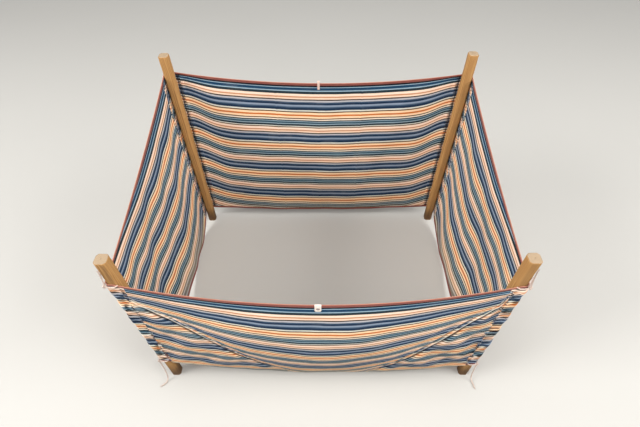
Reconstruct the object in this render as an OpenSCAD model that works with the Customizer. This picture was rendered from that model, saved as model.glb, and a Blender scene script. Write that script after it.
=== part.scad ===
/* [Enclosure] */
// Distance between the post centres along the front and the back
front_span = 1500; // [1200:10:2100]
// Distance between the front post centres and the back post centres
side_span = 1070; // [800:10:1500]

/* [Posts] */
// Width of a post across its flat faces
post_w = 48; // [42:1:80]
// Chamfer on the long corners of a post, measured along a face
post_chamfer = 9; // [6:1:14]
// Height of the two front posts above the sand
front_post_h = 1010; // [990:5:1300]
// Height of the two back posts above the sand
back_post_h = 1200; // [1180:5:1500]
// Narrow bevel round the sawn top of a post
post_bevel = 2; // [1:0.5:4]

/* [Canvas heights] */
// Height of the canvas top at the front left post
front_left_top = 885; // [820:5:890]
// Height of the canvas top at the front right post
front_right_top = 868; // [820:5:890]
// Height of the canvas top at the back right post
back_right_top = 1075; // [1000:5:1080]
// Height of the canvas top at the back left post
back_left_top = 1096; // [1000:5:1100]
// Height of the canvas bottom at the front left post
front_left_bottom = 196; // [140:2:240]
// Height of the canvas bottom at the front right post
front_right_bottom = 150; // [130:2:240]
// Height of the canvas bottom at the two back posts
back_bottom = 88; // [70:2:120]

/* [Canvas slack] */
// Sag of the front top edge at its middle
front_sag = 142; // [60:1:180]
// Sag of the back top edge at its middle
back_sag = 60; // [10:1:80]
// Sag of the side top edges at their middle
side_sag = 16; // [0:1:60]
// Drop of the front bottom edge at its middle
front_drop = 118; // [60:1:120]
// Drop of the back bottom edge at its middle
back_drop = 26; // [0:1:50]
// Height of the side bottom edges at their middle
side_low = 14; // [6:1:60]
// Outward belly of the front canvas
front_belly = 44; // [10:1:80]
// Outward belly of the side canvases
side_belly = 40; // [10:1:80]
// Outward belly of the back canvas
back_belly = 14; // [6:1:60]
// How low the side canvases belly: 1 is at half their height, and more is lower
side_hang = 1.4; // [1:0.1:2]
// Depth of the broad folds across the side canvases
side_fold = 9; // [0:0.5:16]
// Length of one of these folds along the side
side_fold_length = 700; // [500:10:1000]
// Distance from the front post to the crest of the first of them
side_fold_start = 300; // [200:10:400]
// Depth of the folds that run from the front corners
fold_depth = 12; // [0:0.5:18]
// Angle between two neighbouring folds at a front corner
fold_angle = 24; // [20:1:40]
// Distance from its corner at which a fold dies out
fold_reach = 1050; // [700:10:1500]
// Canvas turned in under the front, at its middle
turn_in = 250; // [120:5:320]
// Canvas turned in under the front, at its two ends
turn_in_ends = 40; // [30:1:100]
// Radius of the bend where the front canvas turns in
turn_r = 14; // [8:1:24]

/* [Canvas make] */
// Thickness of the canvas
canvas_t = 2.4; // [1.6:0.2:4]
// Clearance between a post and the binding round it
post_gap = 0.3; // [0.3:0.1:0.8]
// Distance from the side of a front post to the seam of the canvas beside it
front_seam = 4; // [4:1:40]
// Distance from the side of a back post to the seam of the canvas beside it
back_seam = 20; // [4:1:40]
// Height of the binding folded over each edge
binding_h = 14; // [12:1:26]
// Thickness of the binding
binding_t = 1.4; // [0.8:0.1:2]
// Clearance between the binding and the canvas inside it
binding_gap = 0.3; // [0.3:0.1:0.5]

/* [Ties and tabs] */
// Thickness of the tie cord
cord_d = 6; // [4:0.5:8]
// Clearance between a tie and what it lies on
tie_gap = 0.3; // [0.2:0.1:1]
// Outer size of a knot
knot_d = 16; // [14:0.5:20]
// Length of the longer tail above a top knot
long_tail = 92; // [60:1:110]
// Length of the shorter tail above a top knot
short_tail = 58; // [30:1:70]
// Sideways distance between the tips of the two tails
tail_spread = 15; // [12:1:18]
// Width of the tab on the middle of the front edge
front_tab_w = 27; // [20:1:40]
// Length of that tab on the outside
front_tab_h = 44; // [38:1:60]
// Outer size of the eyelet worked in that tab
eyelet_d = 15; // [12:0.5:18]
// Hole of the eyelet
eyelet_hole = 7; // [5:0.5:9]
// Height of the rim of the eyelet above the tape
eyelet_t = 0.8; // [0.4:0.1:1.5]
// Width of the loop on the middle of the back edge
back_loop_w = 12; // [8:1:20]
// Length of that loop below the edge
back_loop_h = 34; // [26:1:50]
// Height of that loop above the edge
back_loop_rise = 16; // [4:1:24]
// Thickness of the tape of the tab and the loop
tape_t = 1.6; // [1:0.2:2.4]
// Clearance between the tape and the binding
tape_gap = 0.6; // [0.5:0.1:1]

/* [Hidden] */

// Sides and the corners they start at, seen from above and going round to the left
FRONT = 0;
RIGHT = 1;
BACK = 2;
LEFT = 3;
SIDES = 4;
quarter_turn = 90;
half_turn = 2 * quarter_turn;
full_turn = SIDES * quarter_turn;

// Values of the four sides, in the order above
span = [front_span, side_span, front_span, side_span];
sag = [front_sag, side_sag, back_sag, side_sag];
belly = [front_belly, side_belly, back_belly, side_belly];
columns = [32, 16, 16, 16];
rows = [12, 7, 7, 7];

// Values of the four corners, in the order above
corner_at = [[0, 0], [front_span, 0], [front_span, side_span], [0, side_span]];
post_h = [front_post_h, front_post_h, back_post_h, back_post_h];
top = [front_left_top, front_right_top, back_right_top, back_left_top];
bottom = [front_left_bottom, front_right_bottom, back_bottom, back_bottom];
side_drop = [
    (bottom[RIGHT] + bottom[BACK]) / 2 - side_low,
    (bottom[LEFT] + bottom[FRONT]) / 2 - side_low
];
drop = [front_drop, side_drop[0], back_drop, side_drop[1]];

// Half the width of the flat face of a post
flat_half = post_w / 2 - post_chamfer;
// Distance from the centre of each post to the seams beside it
seam = [for (gap = [front_seam, front_seam, back_seam, back_seam]) post_w / 2 + gap];
// Inside and outside of the binding, measured from the middle of the canvas
binding_in = canvas_t / 2 + binding_gap;
binding_out = binding_in + binding_t;
// Middle of the canvas, measured from the post surface and from the post centre
canvas_off = post_gap + binding_out;
canvas_line = post_w / 2 + canvas_off;
// Sideways shift of a chamfer edge for each unit of distance from the post
mitre = tan(quarter_turn / 4);
// Middle of the canvas at a chamfer edge, measured along the face
canvas_edge = flat_half + canvas_off * mitre;

// Columns at each end of the front canvas that are not turned in
turn_skip = 2;
// Points of the turned in bend, and rows of the turned in part
bend_steps = 3;
turn_rows = 4;

// Inside and outside of the folded tape, measured from the middle of the canvas
tape_in = binding_out + tape_gap;
tape_out = tape_in + tape_t;
// Corner radius at the lower end of a tape, as a share of its width
tape_corner = 1 / 4;

// Distances from the post surface to the binding, to the tie and to the middle of its knot
binding_face = canvas_off + binding_out;
tie_line = binding_face + tie_gap + cord_d / 2;
knot_line = binding_face + tie_gap + knot_d / 2;
// Distance from the post centre to its chamfer
chamfer_line = (post_w - post_chamfer) * sin(quarter_turn / 2);
// End of the cord below a foot knot, where a loose tail starts
stub = 3;
// Width of the cord where it is bent round a chamfer, a little swollen
bend_d = 1.1 * cord_d;
// Distance between the two turns of a knot, which are pressed into each other
turn_pitch = 0.85 * cord_d;

// Route of the front left tail below its stub: outward, sideways, height
left_tail_route = [[0, 0, -20], [2, 2, -60], [4, 3, -100]];
left_tail_end = [[12, 6, 26], [20, 10, 10], [36, 16, 4], [60, 14, 4]];
// Route of the front right tail below its stub
right_tail_route = [[1, -1, -20], [3, -3, -50], [5, -4, -80]];
right_tail_end = [[10, -6, 26], [18, -12, 10], [32, -20, 4], [52, -34, 4]];
// Sides of a tail, and points between two points of its route
tail_sides = 8;
tail_steps = 3;

$fn = 48;

// Value between a and b
function mix(a, b, u) = a + (b - a) * u;

// Curve from 0 at both ends to 1 in the middle
function arch(u) = 1 - pow(2 * u - 1, 2);

// The same with a flat middle
function broad_arch(u) = 1 - pow(2 * u - 1, 4);

function following(i) = (i + 1) % SIDES;
function is_long(i) = i % 2 == 0;

// Heights of the top and the bottom edge of a side, u from 0 to 1 along it
function top_at(i, u) = mix(top[i], top[following(i)], u) - sag[i] * arch(u);
function low_at(i, u) = mix(bottom[i], bottom[following(i)], u)
    - drop[i] * (is_long(i) ? arch(u) : broad_arch(u));

// Fold that runs out from a top corner, at a distance along and below it: none at the corner
// and at the reach of the folds, and deepest halfway
function fold_from(along, below) = let (
    share = min(1, norm([along, below]) / fold_reach)
) fold_depth * arch(share) * sin(atan2(below, along) * full_turn / fold_angle);

// Outward distance of the canvas, u along the side and v from the top down
function out_at(i, u, v) = is_long(i)
    ? belly[i] * arch(u) * sin(half_turn * v) + (i == FRONT ? fold_out(u, v) : 0)
    : arch(u) * sin(half_turn * pow(v, side_hang)) * (belly[i] + side_fold_out(i, u, v));

// Broad folds of a side canvas, whose crests lean away from the front as they go down
function side_fold_out(i, u, v) = let (
    from_front = i == RIGHT ? u : 1 - u,
    lean = v * side_fold_start / 2
) side_fold * cos(full_turn * (from_front * side_span - side_fold_start - lean) / side_fold_length);

// Both sets of folds on the front canvas, flat at its edges
function fold_out(u, v) = let (
    below = v * (top_at(FRONT, u) - low_at(FRONT, u))
) arch(v) * arch(u)
    * (fold_from(u * front_span, below) + fold_from((1 - u) * front_span, below));

// Shares of the height at which a side has its rows: an edge row at each binding
function row_shares(i, height) = let (edge = binding_h / height) concat(
    [0, edge],
    [for (k = [1 : rows[i] - 1]) mix(edge, 1 - edge, k / rows[i])],
    [1 - edge, 1]
);

// Line of the canvas from its top down to its bottom, as points of outward distance and height
function side_line(i, u) = let (height = top_at(i, u) - low_at(i, u)) [
    for (v = row_shares(i, height)) [out_at(i, u, v), top_at(i, u) - height * v]
];

// Line of the canvas round a post
function corner_line(i) = [
    [0, top[i]],
    [0, top[i] - binding_h],
    [0, bottom[i] + binding_h],
    [0, bottom[i]]
];

// Line of the part that is turned in under the front: down, round the bend and inward
function turned_line(u) = let (
    z = low_at(FRONT, u),
    reach = mix(turn_in_ends, turn_in, arch(u)),
    rest = mix(z - turn_r, binding_out, arch(u)),
    shares = concat(
        [for (k = [1 : turn_rows - 1]) (reach - binding_h) / reach * k / (turn_rows - 1)],
        [1]
    )
) concat(
    [for (k = [0 : bend_steps]) let (a = quarter_turn * k / bend_steps)
        [-turn_r * (1 - cos(a)), z - turn_r * sin(a)]],
    [for (s = shares) [-turn_r - reach * s, mix(z - turn_r, rest, s)]]
);

// Unit vector to the outside of a line at point k
function line_normal(line, k) = let (
    a = line[max(0, k - 1)],
    b = line[min(len(line) - 1, k + 1)],
    d = (b - a) / norm(b - a)
) [-d.y, d.x];

// Both faces of a canvas of the given line: the outer one, then the inner one backwards
function canvas_section(line) = let (n = len(line)) concat(
    [for (k = [0 : n - 1]) line[k] + line_normal(line, k) * canvas_t / 2],
    [for (k = [n - 1 : -1 : 0]) line[k] - line_normal(line, k) * canvas_t / 2]
);

// Channel folded over the edge at the first point, as deep as the second point
function binding_section(edge, inner) = let (
    d = (inner - edge) / norm(inner - edge),
    n = [-d.y, d.x],
    beyond = d * (binding_gap + binding_t),
    within = d * binding_gap
) [
    inner + n * binding_out, edge + n * binding_out - beyond,
    edge - n * binding_out - beyond, inner - n * binding_out,
    inner - n * binding_in, edge - n * binding_in - within,
    edge + n * binding_in - within, inner + n * binding_in
];

function top_binding(line) = binding_section(line[0], line[1]);
function bottom_binding(line) = let (n = len(line)) binding_section(line[n - 1], line[n - 2]);

// A station is a point on the plan of the canvas and its outward direction there
function side_station(i, u) = [
    [mix(seam[i], span[i] - seam[following(i)], u), -canvas_line],
    [0, -1]
];
function corner_stations(i) = [
    [[-canvas_line, seam[i]], [-1, 0]],
    [[-canvas_line, -canvas_edge], [-1, -mitre]],
    [[-canvas_edge, -canvas_line], [-mitre, -1]],
    [[seam[i], -canvas_line], [0, -1]]
];

// A section of outward distances and heights, stood up at a station
function stand(section, station) = [
    for (p = section) let (q = station[0] + station[1] * p.x) [q.x, q.y, p.y]
];

// Solid through rings of points, each ring made of two facing halves
module loft(rings) {
    n = len(rings[0]);
    last = len(rings) - 1;
    half = n / 2;
    skin = [
        for (s = [0 : last - 1], k = [0 : n - 1]) let (
            a = s * n + k,
            b = s * n + (k + 1) % n
        ) each [[a, b, b + n], [a, b + n, a + n]]
    ];
    caps = [
        for (k = [0 : half - 2]) let (
            a = k,
            b = k + 1,
            c = n - 2 - k,
            d = n - 1 - k,
            e = last * n
        ) each [[a, c, b], [a, d, c], [e + a, e + b, e + c], [e + a, e + c, e + d]]
    ];
    polyhedron(points = [for (ring = rings) each ring], faces = concat(skin, caps));
}

// Puts a side or a corner, drawn as the front or the front left one, in its place
module at_corner(i) {
    translate([corner_at[i].x, corner_at[i].y, 0])
        rotate(quarter_turn * i)
            children();
}

// Post with chamfered corners and a bevelled top
module post(i) {
    at_corner(i)
        difference() {
            linear_extrude(post_h[i])
                post_outline(0);
            for (turn = [0 : SIDES - 1])
                rotate(quarter_turn * turn)
                    translate([post_w / 2, 0, post_h[i]])
                        rotate([0, quarter_turn / 2, 0])
                            cube([post_bevel * sqrt(2), post_w, post_bevel * sqrt(2)], center = true);
        }
}

// Square with cut corners
module post_outline(inset) {
    intersection() {
        square(post_w - 2 * inset, center = true);
        rotate(quarter_turn / 2)
            square(2 * chamfer_line, center = true);
    }
}

module side_canvas(i) {
    at_corner(i)
        loft([
            for (c = [0 : columns[i]]) let (u = c / columns[i])
                stand(canvas_section(side_line(i, u)), side_station(i, u))
        ]);
}

module corner_canvas(i) {
    at_corner(i)
        loft([for (s = corner_stations(i)) stand(canvas_section(corner_line(i)), s)]);
}

module side_top_binding(i) {
    at_corner(i)
        loft([
            for (c = [0 : columns[i]]) let (u = c / columns[i])
                stand(top_binding(side_line(i, u)), side_station(i, u))
        ]);
}

// Bottom binding along some of the columns of a side
module side_bottom_binding(i, first, last) {
    at_corner(i)
        loft([
            for (c = [first : last]) let (u = c / columns[i])
                stand(bottom_binding(side_line(i, u)), side_station(i, u))
        ]);
}

module corner_binding(i) {
    at_corner(i) {
        loft([for (s = corner_stations(i)) stand(top_binding(corner_line(i)), s)]);
        loft([for (s = corner_stations(i)) stand(bottom_binding(corner_line(i)), s)]);
    }
}

// Part of the front canvas that is turned in along the sand
module turned_hem() {
    at_corner(FRONT)
        loft([
            for (c = [turn_skip : columns[FRONT] - turn_skip]) let (u = c / columns[FRONT])
                stand(canvas_section(turned_line(u)), side_station(FRONT, u))
        ]);
}

// Binding of the front bottom edge: on the turned in part, and on the canvas beside it
module front_hem_binding() {
    at_corner(FRONT)
        loft([
            for (c = [turn_skip : columns[FRONT] - turn_skip]) let (u = c / columns[FRONT])
                stand(bottom_binding(turned_line(u)), side_station(FRONT, u))
        ]);
    side_bottom_binding(FRONT, 0, turn_skip);
    side_bottom_binding(FRONT, columns[FRONT] - turn_skip, columns[FRONT]);
}

// Cord from one point to another
module cord_run(a, b) {
    d = b - a;
    translate(a)
        rotate([0, acos(d.z / norm(d)), atan2(d.y, d.x)])
            cylinder(h = norm(d), d = cord_d);
}

// Point at a distance out from the chamfer of a corner, moved sideways along it
function off_chamfer(out, sideways, z) = let (r = chamfer_line + out, s = sin(quarter_turn / 2)) [
    -r * s + sideways * s,
    -r * s - sideways * s,
    z
];

// Cord laid round the outside of a corner, over the binding
module tie_band(z) {
    face = post_w / 2 + tie_line;
    edge = flat_half + tie_line * mitre;
    ends = [[flat_half, -face, z], [-edge, -face, z], [-face, -edge, z], [-face, flat_half, z]];
    for (k = [0 : len(ends) - 2])
        cord_run(ends[k], ends[k + 1]);
    for (k = [1 : len(ends) - 2])
        translate(ends[k])
            sphere(d = bend_d);
}

// Knot of two turns of cord, wound about an upright line
module knot(z) {
    core_r = (knot_d - cord_d) / 2;
    core_h = turn_pitch + cord_d - 2 * tie_gap;
    translate(off_chamfer(knot_line, 0, z))
        rotate_extrude() {
            for (side = [-1, 1])
                translate([core_r, side * turn_pitch / 2])
                    circle(d = cord_d);
            translate([0, -core_h / 2])
                square([core_r, core_h]);
        }
}

// Tie at a top corner, with its two tails laid up the post
module top_tie(i) {
    z = top[i] - binding_h / 2;
    beside = tie_gap + cord_d / 2;
    apart = tail_spread / 2;
    at_corner(i)
        union() {
            tie_band(z);
            knot(z);
            cord_run(off_chamfer(knot_line, beside, z), off_chamfer(beside, apart, z + long_tail));
            cord_run(off_chamfer(knot_line, -beside, z), off_chamfer(beside, -apart, z + short_tail));
        }
}

// Tie at a bottom corner, with its cut end below the knot
module foot_tie(i) {
    z = bottom[i] + binding_h / 2;
    at_corner(i)
        union() {
            tie_band(z);
            knot(z);
            cord_run(off_chamfer(knot_line, 0, z), off_chamfer(knot_line, 0, z - knot_d / 2 - stub));
        }
}

// Point of a smooth curve through the four given points, between the middle two
function curve_point(p, t) = (
    2 * p[1] + (p[2] - p[0]) * t
    + (2 * p[0] - 5 * p[1] + 4 * p[2] - p[3]) * pow(t, 2)
    + (3 * p[1] - p[0] - 3 * p[2] + p[3]) * pow(t, 3)
) / 2;

// Smooth route through a list of points
function smooth(points) = let (n = len(points)) concat(
    [for (k = [0 : n - 2], s = [0 : tail_steps - 1]) curve_point(
        [points[max(0, k - 1)], points[k], points[k + 1], points[min(n - 1, k + 2)]], s / tail_steps
    )],
    [points[n - 1]]
);

// Ring of a tube round a point, square to the route there
function tube_ring(route, k) = let (
    a = route[max(0, k - 1)],
    b = route[min(len(route) - 1, k + 1)],
    d = k == 0 ? [0, 0, -1] : (b - a) / norm(b - a),
    side = cross(d, [1, -1, 0] / sqrt(2)),
    x = side / norm(side),
    y = cross(d, x)
) [
    for (s = [0 : tail_sides - 1]) let (angle = full_turn * (s + 0.5) / tail_sides)
        route[k] + (x * cos(angle) + y * sin(angle)) * cord_d / 2
];

// Loose end of cord that hangs from a foot knot and lies on the sand
module tie_tail(i, route, end) {
    z = bottom[i] + binding_h / 2 - knot_d / 2 - stub;
    upper = [for (p = route) if (z + p.z > end[0].z + 2 * cord_d) off_chamfer(knot_line + p.x, p.y, z + p.z)];
    lower = [for (p = end) off_chamfer(knot_line + p.x, p.y, p.z)];
    path = smooth(concat([off_chamfer(knot_line, 0, z)], upper, lower));
    at_corner(i)
        loft([for (k = [0 : len(path) - 1]) tube_ring(path, k)]);
}

// Puts what is drawn round the edge of the canvas on the middle of a top edge
module on_edge(i) {
    line = side_line(i, 1 / 2);
    lean = atan2(line[1].x - line[0].x, line[0].y - line[1].y);
    at_corner(i)
        translate([span[i] / 2, -canvas_line - line[0].x, line[0].y])
            rotate([-lean, 0, 0])
                children();
}

// Tape folded over the edge, standing up by a rise and hanging by a length
module folded_tape(width, hang, rise) {
    intersection() {
        rotate([quarter_turn, 0, quarter_turn])
            linear_extrude(width, center = true)
                folded_outline(hang, rise);
        rotate([quarter_turn, 0, 0])
            linear_extrude(4 * tape_out, center = true)
                tape_outline(width, hang, rise);
    }
}

// Section of the folded tape
module folded_outline(hang, rise) {
    edge = binding_gap + binding_t + tape_gap;
    difference() {
        translate([-tape_out, -hang])
            square([2 * tape_out, hang + edge + rise + tape_t]);
        translate([-tape_in, -hang])
            square([2 * tape_in, hang + edge + rise]);
    }
}

// Face of the tape, with round corners at its lower end
module tape_outline(width, hang, rise) {
    corner = tape_corner * width;
    translate([-width / 2, -hang + corner])
        square([width, hang + rise + width]);
    for (side = [-1, 1])
        translate([side * (width / 2 - corner), -hang + corner])
            circle(corner);
    translate([-width / 2 + corner, -hang])
        square([width - 2 * corner, corner]);
}

// Tab with a worked eyelet through its outer half
module eyelet_tab() {
    eye_z = -front_tab_h / 2 - binding_t;
    difference() {
        union() {
            folded_tape(front_tab_w, front_tab_h, 0);
            translate([0, -tape_out, eye_z])
                rotate([quarter_turn, 0, 0])
                    cylinder(h = eyelet_t, d = eyelet_d);
        }
        translate([0, 0, eye_z])
            rotate([quarter_turn, 0, 0])
                cylinder(h = 2 * tape_out, d = eyelet_hole);
    }
}

module front_left_post() { color("goldenrod") post(FRONT); }
module front_right_post() { color("goldenrod") post(RIGHT); }
module back_right_post() { color("goldenrod") post(BACK); }
module back_left_post() { color("goldenrod") post(LEFT); }

module front_canvas() { color("steelblue") side_canvas(FRONT); }
module right_canvas() { color("steelblue") side_canvas(RIGHT); }
module back_canvas() { color("steelblue") side_canvas(BACK); }
module left_canvas() { color("steelblue") side_canvas(LEFT); }

module front_left_corner() { color("slategray") corner_canvas(FRONT); }
module front_right_corner() { color("slategray") corner_canvas(RIGHT); }
module back_right_corner() { color("slategray") corner_canvas(BACK); }
module back_left_corner() { color("slategray") corner_canvas(LEFT); }

module front_top_binding() { color("sienna") side_top_binding(FRONT); }
module right_top_binding() { color("sienna") side_top_binding(RIGHT); }
module back_top_binding() { color("sienna") side_top_binding(BACK); }
module left_top_binding() { color("sienna") side_top_binding(LEFT); }

module front_bottom_binding() { color("sienna") front_hem_binding(); }
module right_bottom_binding() { color("sienna") side_bottom_binding(RIGHT, 0, columns[RIGHT]); }
module back_bottom_binding() { color("sienna") side_bottom_binding(BACK, 0, columns[BACK]); }
module left_bottom_binding() { color("sienna") side_bottom_binding(LEFT, 0, columns[LEFT]); }

module front_left_corner_binding() { color("brown") corner_binding(FRONT); }
module front_right_corner_binding() { color("brown") corner_binding(RIGHT); }
module back_right_corner_binding() { color("brown") corner_binding(BACK); }
module back_left_corner_binding() { color("brown") corner_binding(LEFT); }

module front_turned_hem() { color("cadetblue") turned_hem(); }

module front_left_top_tie() { color("mistyrose") top_tie(FRONT); }
module front_right_top_tie() { color("mistyrose") top_tie(RIGHT); }
module back_right_top_tie() { color("mistyrose") top_tie(BACK); }
module back_left_top_tie() { color("mistyrose") top_tie(LEFT); }

module front_left_foot_tie() { color("mistyrose") foot_tie(FRONT); }
module front_right_foot_tie() { color("mistyrose") foot_tie(RIGHT); }
module back_right_foot_tie() { color("mistyrose") foot_tie(BACK); }
module back_left_foot_tie() { color("mistyrose") foot_tie(LEFT); }

module front_left_tie_tail() { color("seashell") tie_tail(FRONT, left_tail_route, left_tail_end); }
module front_right_tie_tail() { color("seashell") tie_tail(RIGHT, right_tail_route, right_tail_end); }

module front_centre_tab() { color("ivory") on_edge(FRONT) eyelet_tab(); }
module back_centre_loop() { color("ivory") on_edge(BACK) folded_tape(back_loop_w, back_loop_h, back_loop_rise); }

front_left_post();
front_right_post();
back_right_post();
back_left_post();
front_canvas();
right_canvas();
back_canvas();
left_canvas();
front_left_corner();
front_right_corner();
back_right_corner();
back_left_corner();
front_top_binding();
right_top_binding();
back_top_binding();
left_top_binding();
front_bottom_binding();
right_bottom_binding();
back_bottom_binding();
left_bottom_binding();
front_left_corner_binding();
front_right_corner_binding();
back_right_corner_binding();
back_left_corner_binding();
front_turned_hem();
front_left_top_tie();
front_right_top_tie();
back_right_top_tie();
back_left_top_tie();
front_left_foot_tie();
front_right_foot_tie();
back_right_foot_tie();
back_left_foot_tie();
front_left_tie_tail();
front_right_tie_tail();
front_centre_tab();
back_centre_loop();
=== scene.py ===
"""Looks of a beach windbreak: striped cloth tied round four timber posts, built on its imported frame."""
import functools
import math

import bpy
import numpy as np
from mathutils import Matrix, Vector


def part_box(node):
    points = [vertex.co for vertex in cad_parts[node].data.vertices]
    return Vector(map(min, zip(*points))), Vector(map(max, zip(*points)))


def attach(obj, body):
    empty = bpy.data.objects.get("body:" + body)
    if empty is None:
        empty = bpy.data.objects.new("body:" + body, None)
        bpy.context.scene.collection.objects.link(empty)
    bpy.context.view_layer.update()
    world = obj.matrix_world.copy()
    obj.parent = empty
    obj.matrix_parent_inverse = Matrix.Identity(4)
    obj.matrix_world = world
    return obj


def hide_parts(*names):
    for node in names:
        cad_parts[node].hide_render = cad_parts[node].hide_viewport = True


bl_info = {
    "name": "Beach Windbreak",
    "version": (1, 0, 0),
    "blender": (4, 5, 0),
    "location": "View3D > Sidebar > Windbreak",
    "description": "Builds the cloth, timber, cords and stage of a striped beach windbreak",
    "category": "Object",
}

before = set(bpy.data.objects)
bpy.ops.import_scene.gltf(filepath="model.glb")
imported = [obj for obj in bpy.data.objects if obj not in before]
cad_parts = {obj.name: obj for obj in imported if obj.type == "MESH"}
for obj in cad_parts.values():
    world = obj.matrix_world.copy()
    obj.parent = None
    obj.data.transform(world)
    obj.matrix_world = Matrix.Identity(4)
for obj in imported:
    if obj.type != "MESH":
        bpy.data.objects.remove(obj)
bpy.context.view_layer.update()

# Corner i is where side i starts, and both go round from the front left
SIDES = ("front", "right", "back", "left")
CORNERS = ("front_left", "front_right", "back_right", "back_left")
FRONT, RIGHT, BACK, LEFT = range(4)
FRONT_CORNERS, BACK_CORNERS = (0, 1), (2, 3)
QUARTER, TURN = math.pi / 2, 2 * math.pi

# Stripes of the cloth from the top down, width in millimetres and colour: a border, then a repeat whose
# first stripes are used for the second time on, since the border stands in their place at the top
BORDER = ((9.5, "ink"), (4.0, "pale_blue"), (15.0, "steel"), (6.5, "pale_blue"), (15.0, "slate"))
STRIPES = (
    (6.0, "ink"), (5.6, "mist"), (10.4, "teal"), (5.9, "mist"), (11.9, "slate"), (5.3, "chalk"),
    (6.9, "olive"), (13.0, "cream"), (8.5, "tan"), (9.4, "shell"), (7.9, "umber"), (9.4, "grey"),
    (7.2, "denim"), (11.2, "navy"), (10.4, "lilac"), (8.4, "denim"), (14.4, "navy"), (8.3, "chalk"),
    (7.7, "olive"), (12.6, "peach"), (11.0, "orange"), (12.6, "peach"), (6.8, "olive"), (7.8, "blush"),
)
COVERED_STRIPES = 7
DYES = {
    "ink": "15161F", "pale_blue": "90A7B6", "steel": "1C3D57", "slate": "263338", "mist": "8B9EA8",
    "teal": "33505D", "chalk": "D3D2C6", "olive": "64492F", "cream": "F3D5BE", "tan": "C58E68",
    "shell": "EECCB2", "umber": "463A33", "grey": "B2B0B2", "denim": "42556A", "navy": "1D2F45",
    "lilac": "8592A4", "peach": "F6CFA6", "orange": "C7703A", "blush": "EADAC6",
}


def length(name, description, default):
    """A length in metres that a user may change."""
    return bpy.props.FloatProperty(
        name=name, description=description, default=default, min=0.0, max=2.0, unit="LENGTH", precision=4
    )


def colour(name, description, code):
    """A colour that a user may change, given by its web code."""
    return bpy.props.FloatVectorProperty(
        name=name, description=description, default=linear(code), size=3, min=0.0, max=1.0, subtype="COLOR"
    )


def linear(code):
    """Linear red, green and blue of a web colour code."""
    parts = np.array([int(code[k : k + 2], 16) for k in (0, 2, 4)]) / 255
    return tuple(np.where(parts <= 0.04045, parts / 12.92, ((parts + 0.055) / 1.055) ** 2.4).tolist())


class ClothSizes(bpy.types.PropertyGroup):
    """Sizes of the cloth and its bindings."""

    front_sag: length("Front sag", "Sag of the front top edge at its middle", 0.142)
    back_sag: length("Back sag", "Sag of the back top edge at its middle", 0.060)
    side_sag: length("Side sag", "Sag of the side top edges at their middle", 0.016)
    front_drop: length("Front drop", "Drop of the front bottom edge at its middle", 0.118)
    back_drop: length("Back drop", "Drop of the back bottom edge at its middle", 0.026)
    side_low: length("Side foot", "Height of the side bottom edges at their middle", 0.014)
    front_belly: length("Front belly", "Outward belly of the front cloth", 0.044)
    side_belly: length("Side belly", "Outward belly of the side cloths", 0.040)
    back_belly: length("Back belly", "Outward belly of the back cloth", 0.014)
    side_fold: length("Side folds", "Depth of the broad folds across the side cloths", 0.009)
    stand_off: length("Stand off", "Distance from a post to the middle of the cloth", 0.0032)
    front_seam: length("Front seams", "Distance from a front post's centre to the seam beside it", 0.028)
    back_seam: length("Back seams", "Distance from a back post's centre to the seam beside it", 0.044)
    thickness: length("Thickness", "Thickness of the cloth", 0.0012)
    binding: length("Binding", "Depth of the binding over an edge", 0.0120)
    turn_in: length("Turned in", "Cloth turned in under the front, at its middle", 0.250)
    turn_in_ends: length("Turned in at the ends", "Cloth turned in near the posts", 0.030)
    turn_radius: length("Turning radius", "Radius of the bend where the front turns in", 0.014)
    gather: length("Gather", "Cloth between one gather and the next", 0.022)


class CordSizes(bpy.types.PropertyGroup):
    """Sizes of the ties, the tab and the loop."""

    thickness: length("Thickness", "Thickness of the tie cord", 0.006)
    knot: length("Knot", "Outer size of a knot", 0.016)
    long_tail: length("Long tail", "Longer tail above a top knot", 0.092)
    short_tail: length("Short tail", "Shorter tail above a top knot", 0.058)
    spread: length("Spread", "Sideways distance between the tips of the tails", 0.015)
    tab_width: length("Tab width", "Width of the tab over the front edge", 0.027)
    tab_length: length("Tab length", "Length of that tab below the edge", 0.036)
    eyelet: length("Eyelet", "Outer size of the eyelet worked in the tab", 0.015)
    loop_width: length("Loop width", "Width of the tape loop over the back edge", 0.012)
    loop_length: length("Loop length", "Length of that loop below the edge", 0.034)
    loop_rise: length("Loop rise", "Height of that loop above the edge", 0.013)


class Dyes(bpy.types.PropertyGroup):
    """Colours of the parts."""

    binding: colour("Binding", "Colour of the tape over the edges", "8C463A")
    cord: colour("Cord", "Colour of the ties", "DECBBE")
    tape: colour("Tape", "Colour of the tab and the loop", "EDE4DA")
    # The lacing's dark colour is partly painted shade of the posts
    thread: colour("Thread", "Colour of the lacing beside the posts", "2B2630")
    rust: colour("Rust thread", "Colour of the mended lacing", "8E3B2C")
    wood: colour("Wood", "Colour of the timber", "A97B44")
    floor: colour("Floor", "Colour of the studio floor", "B5B2AC")


def cloth_sizes():
    """The cloth's sizes, as they are set in the scene."""
    return bpy.context.scene.windbreak_cloth


def cord_sizes():
    """The sizes of the ties, the tab and the loop, as they are set in the scene."""
    return bpy.context.scene.windbreak_cord


def mix(a, b, t):
    """Value between a and b."""
    return a + (b - a) * t


def arch(u):
    """Curve from 0 at both ends to 1 in the middle."""
    return 1 - (2 * u - 1) ** 2


def broad_arch(u):
    """The same with a flat middle."""
    return 1 - (2 * u - 1) ** 4


def smooth(x, low, high):
    """Smooth step from 0 at low to 1 at high."""
    t = np.clip((x - low) / (high - low), 0, 1)
    return t * t * (3 - 2 * t)


def unit(v):
    """Vectors scaled to length one along their last axis."""
    return v / np.maximum(np.linalg.norm(v, axis=-1, keepdims=True), 1e-12)


def running(steps):
    """Running sum of steps, from 0."""
    return np.concatenate([[0], np.cumsum(steps)])


def distances_along(path):
    """Distance of each point of a path from its start."""
    return running(np.linalg.norm(np.diff(path, axis=0), axis=1))


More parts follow.
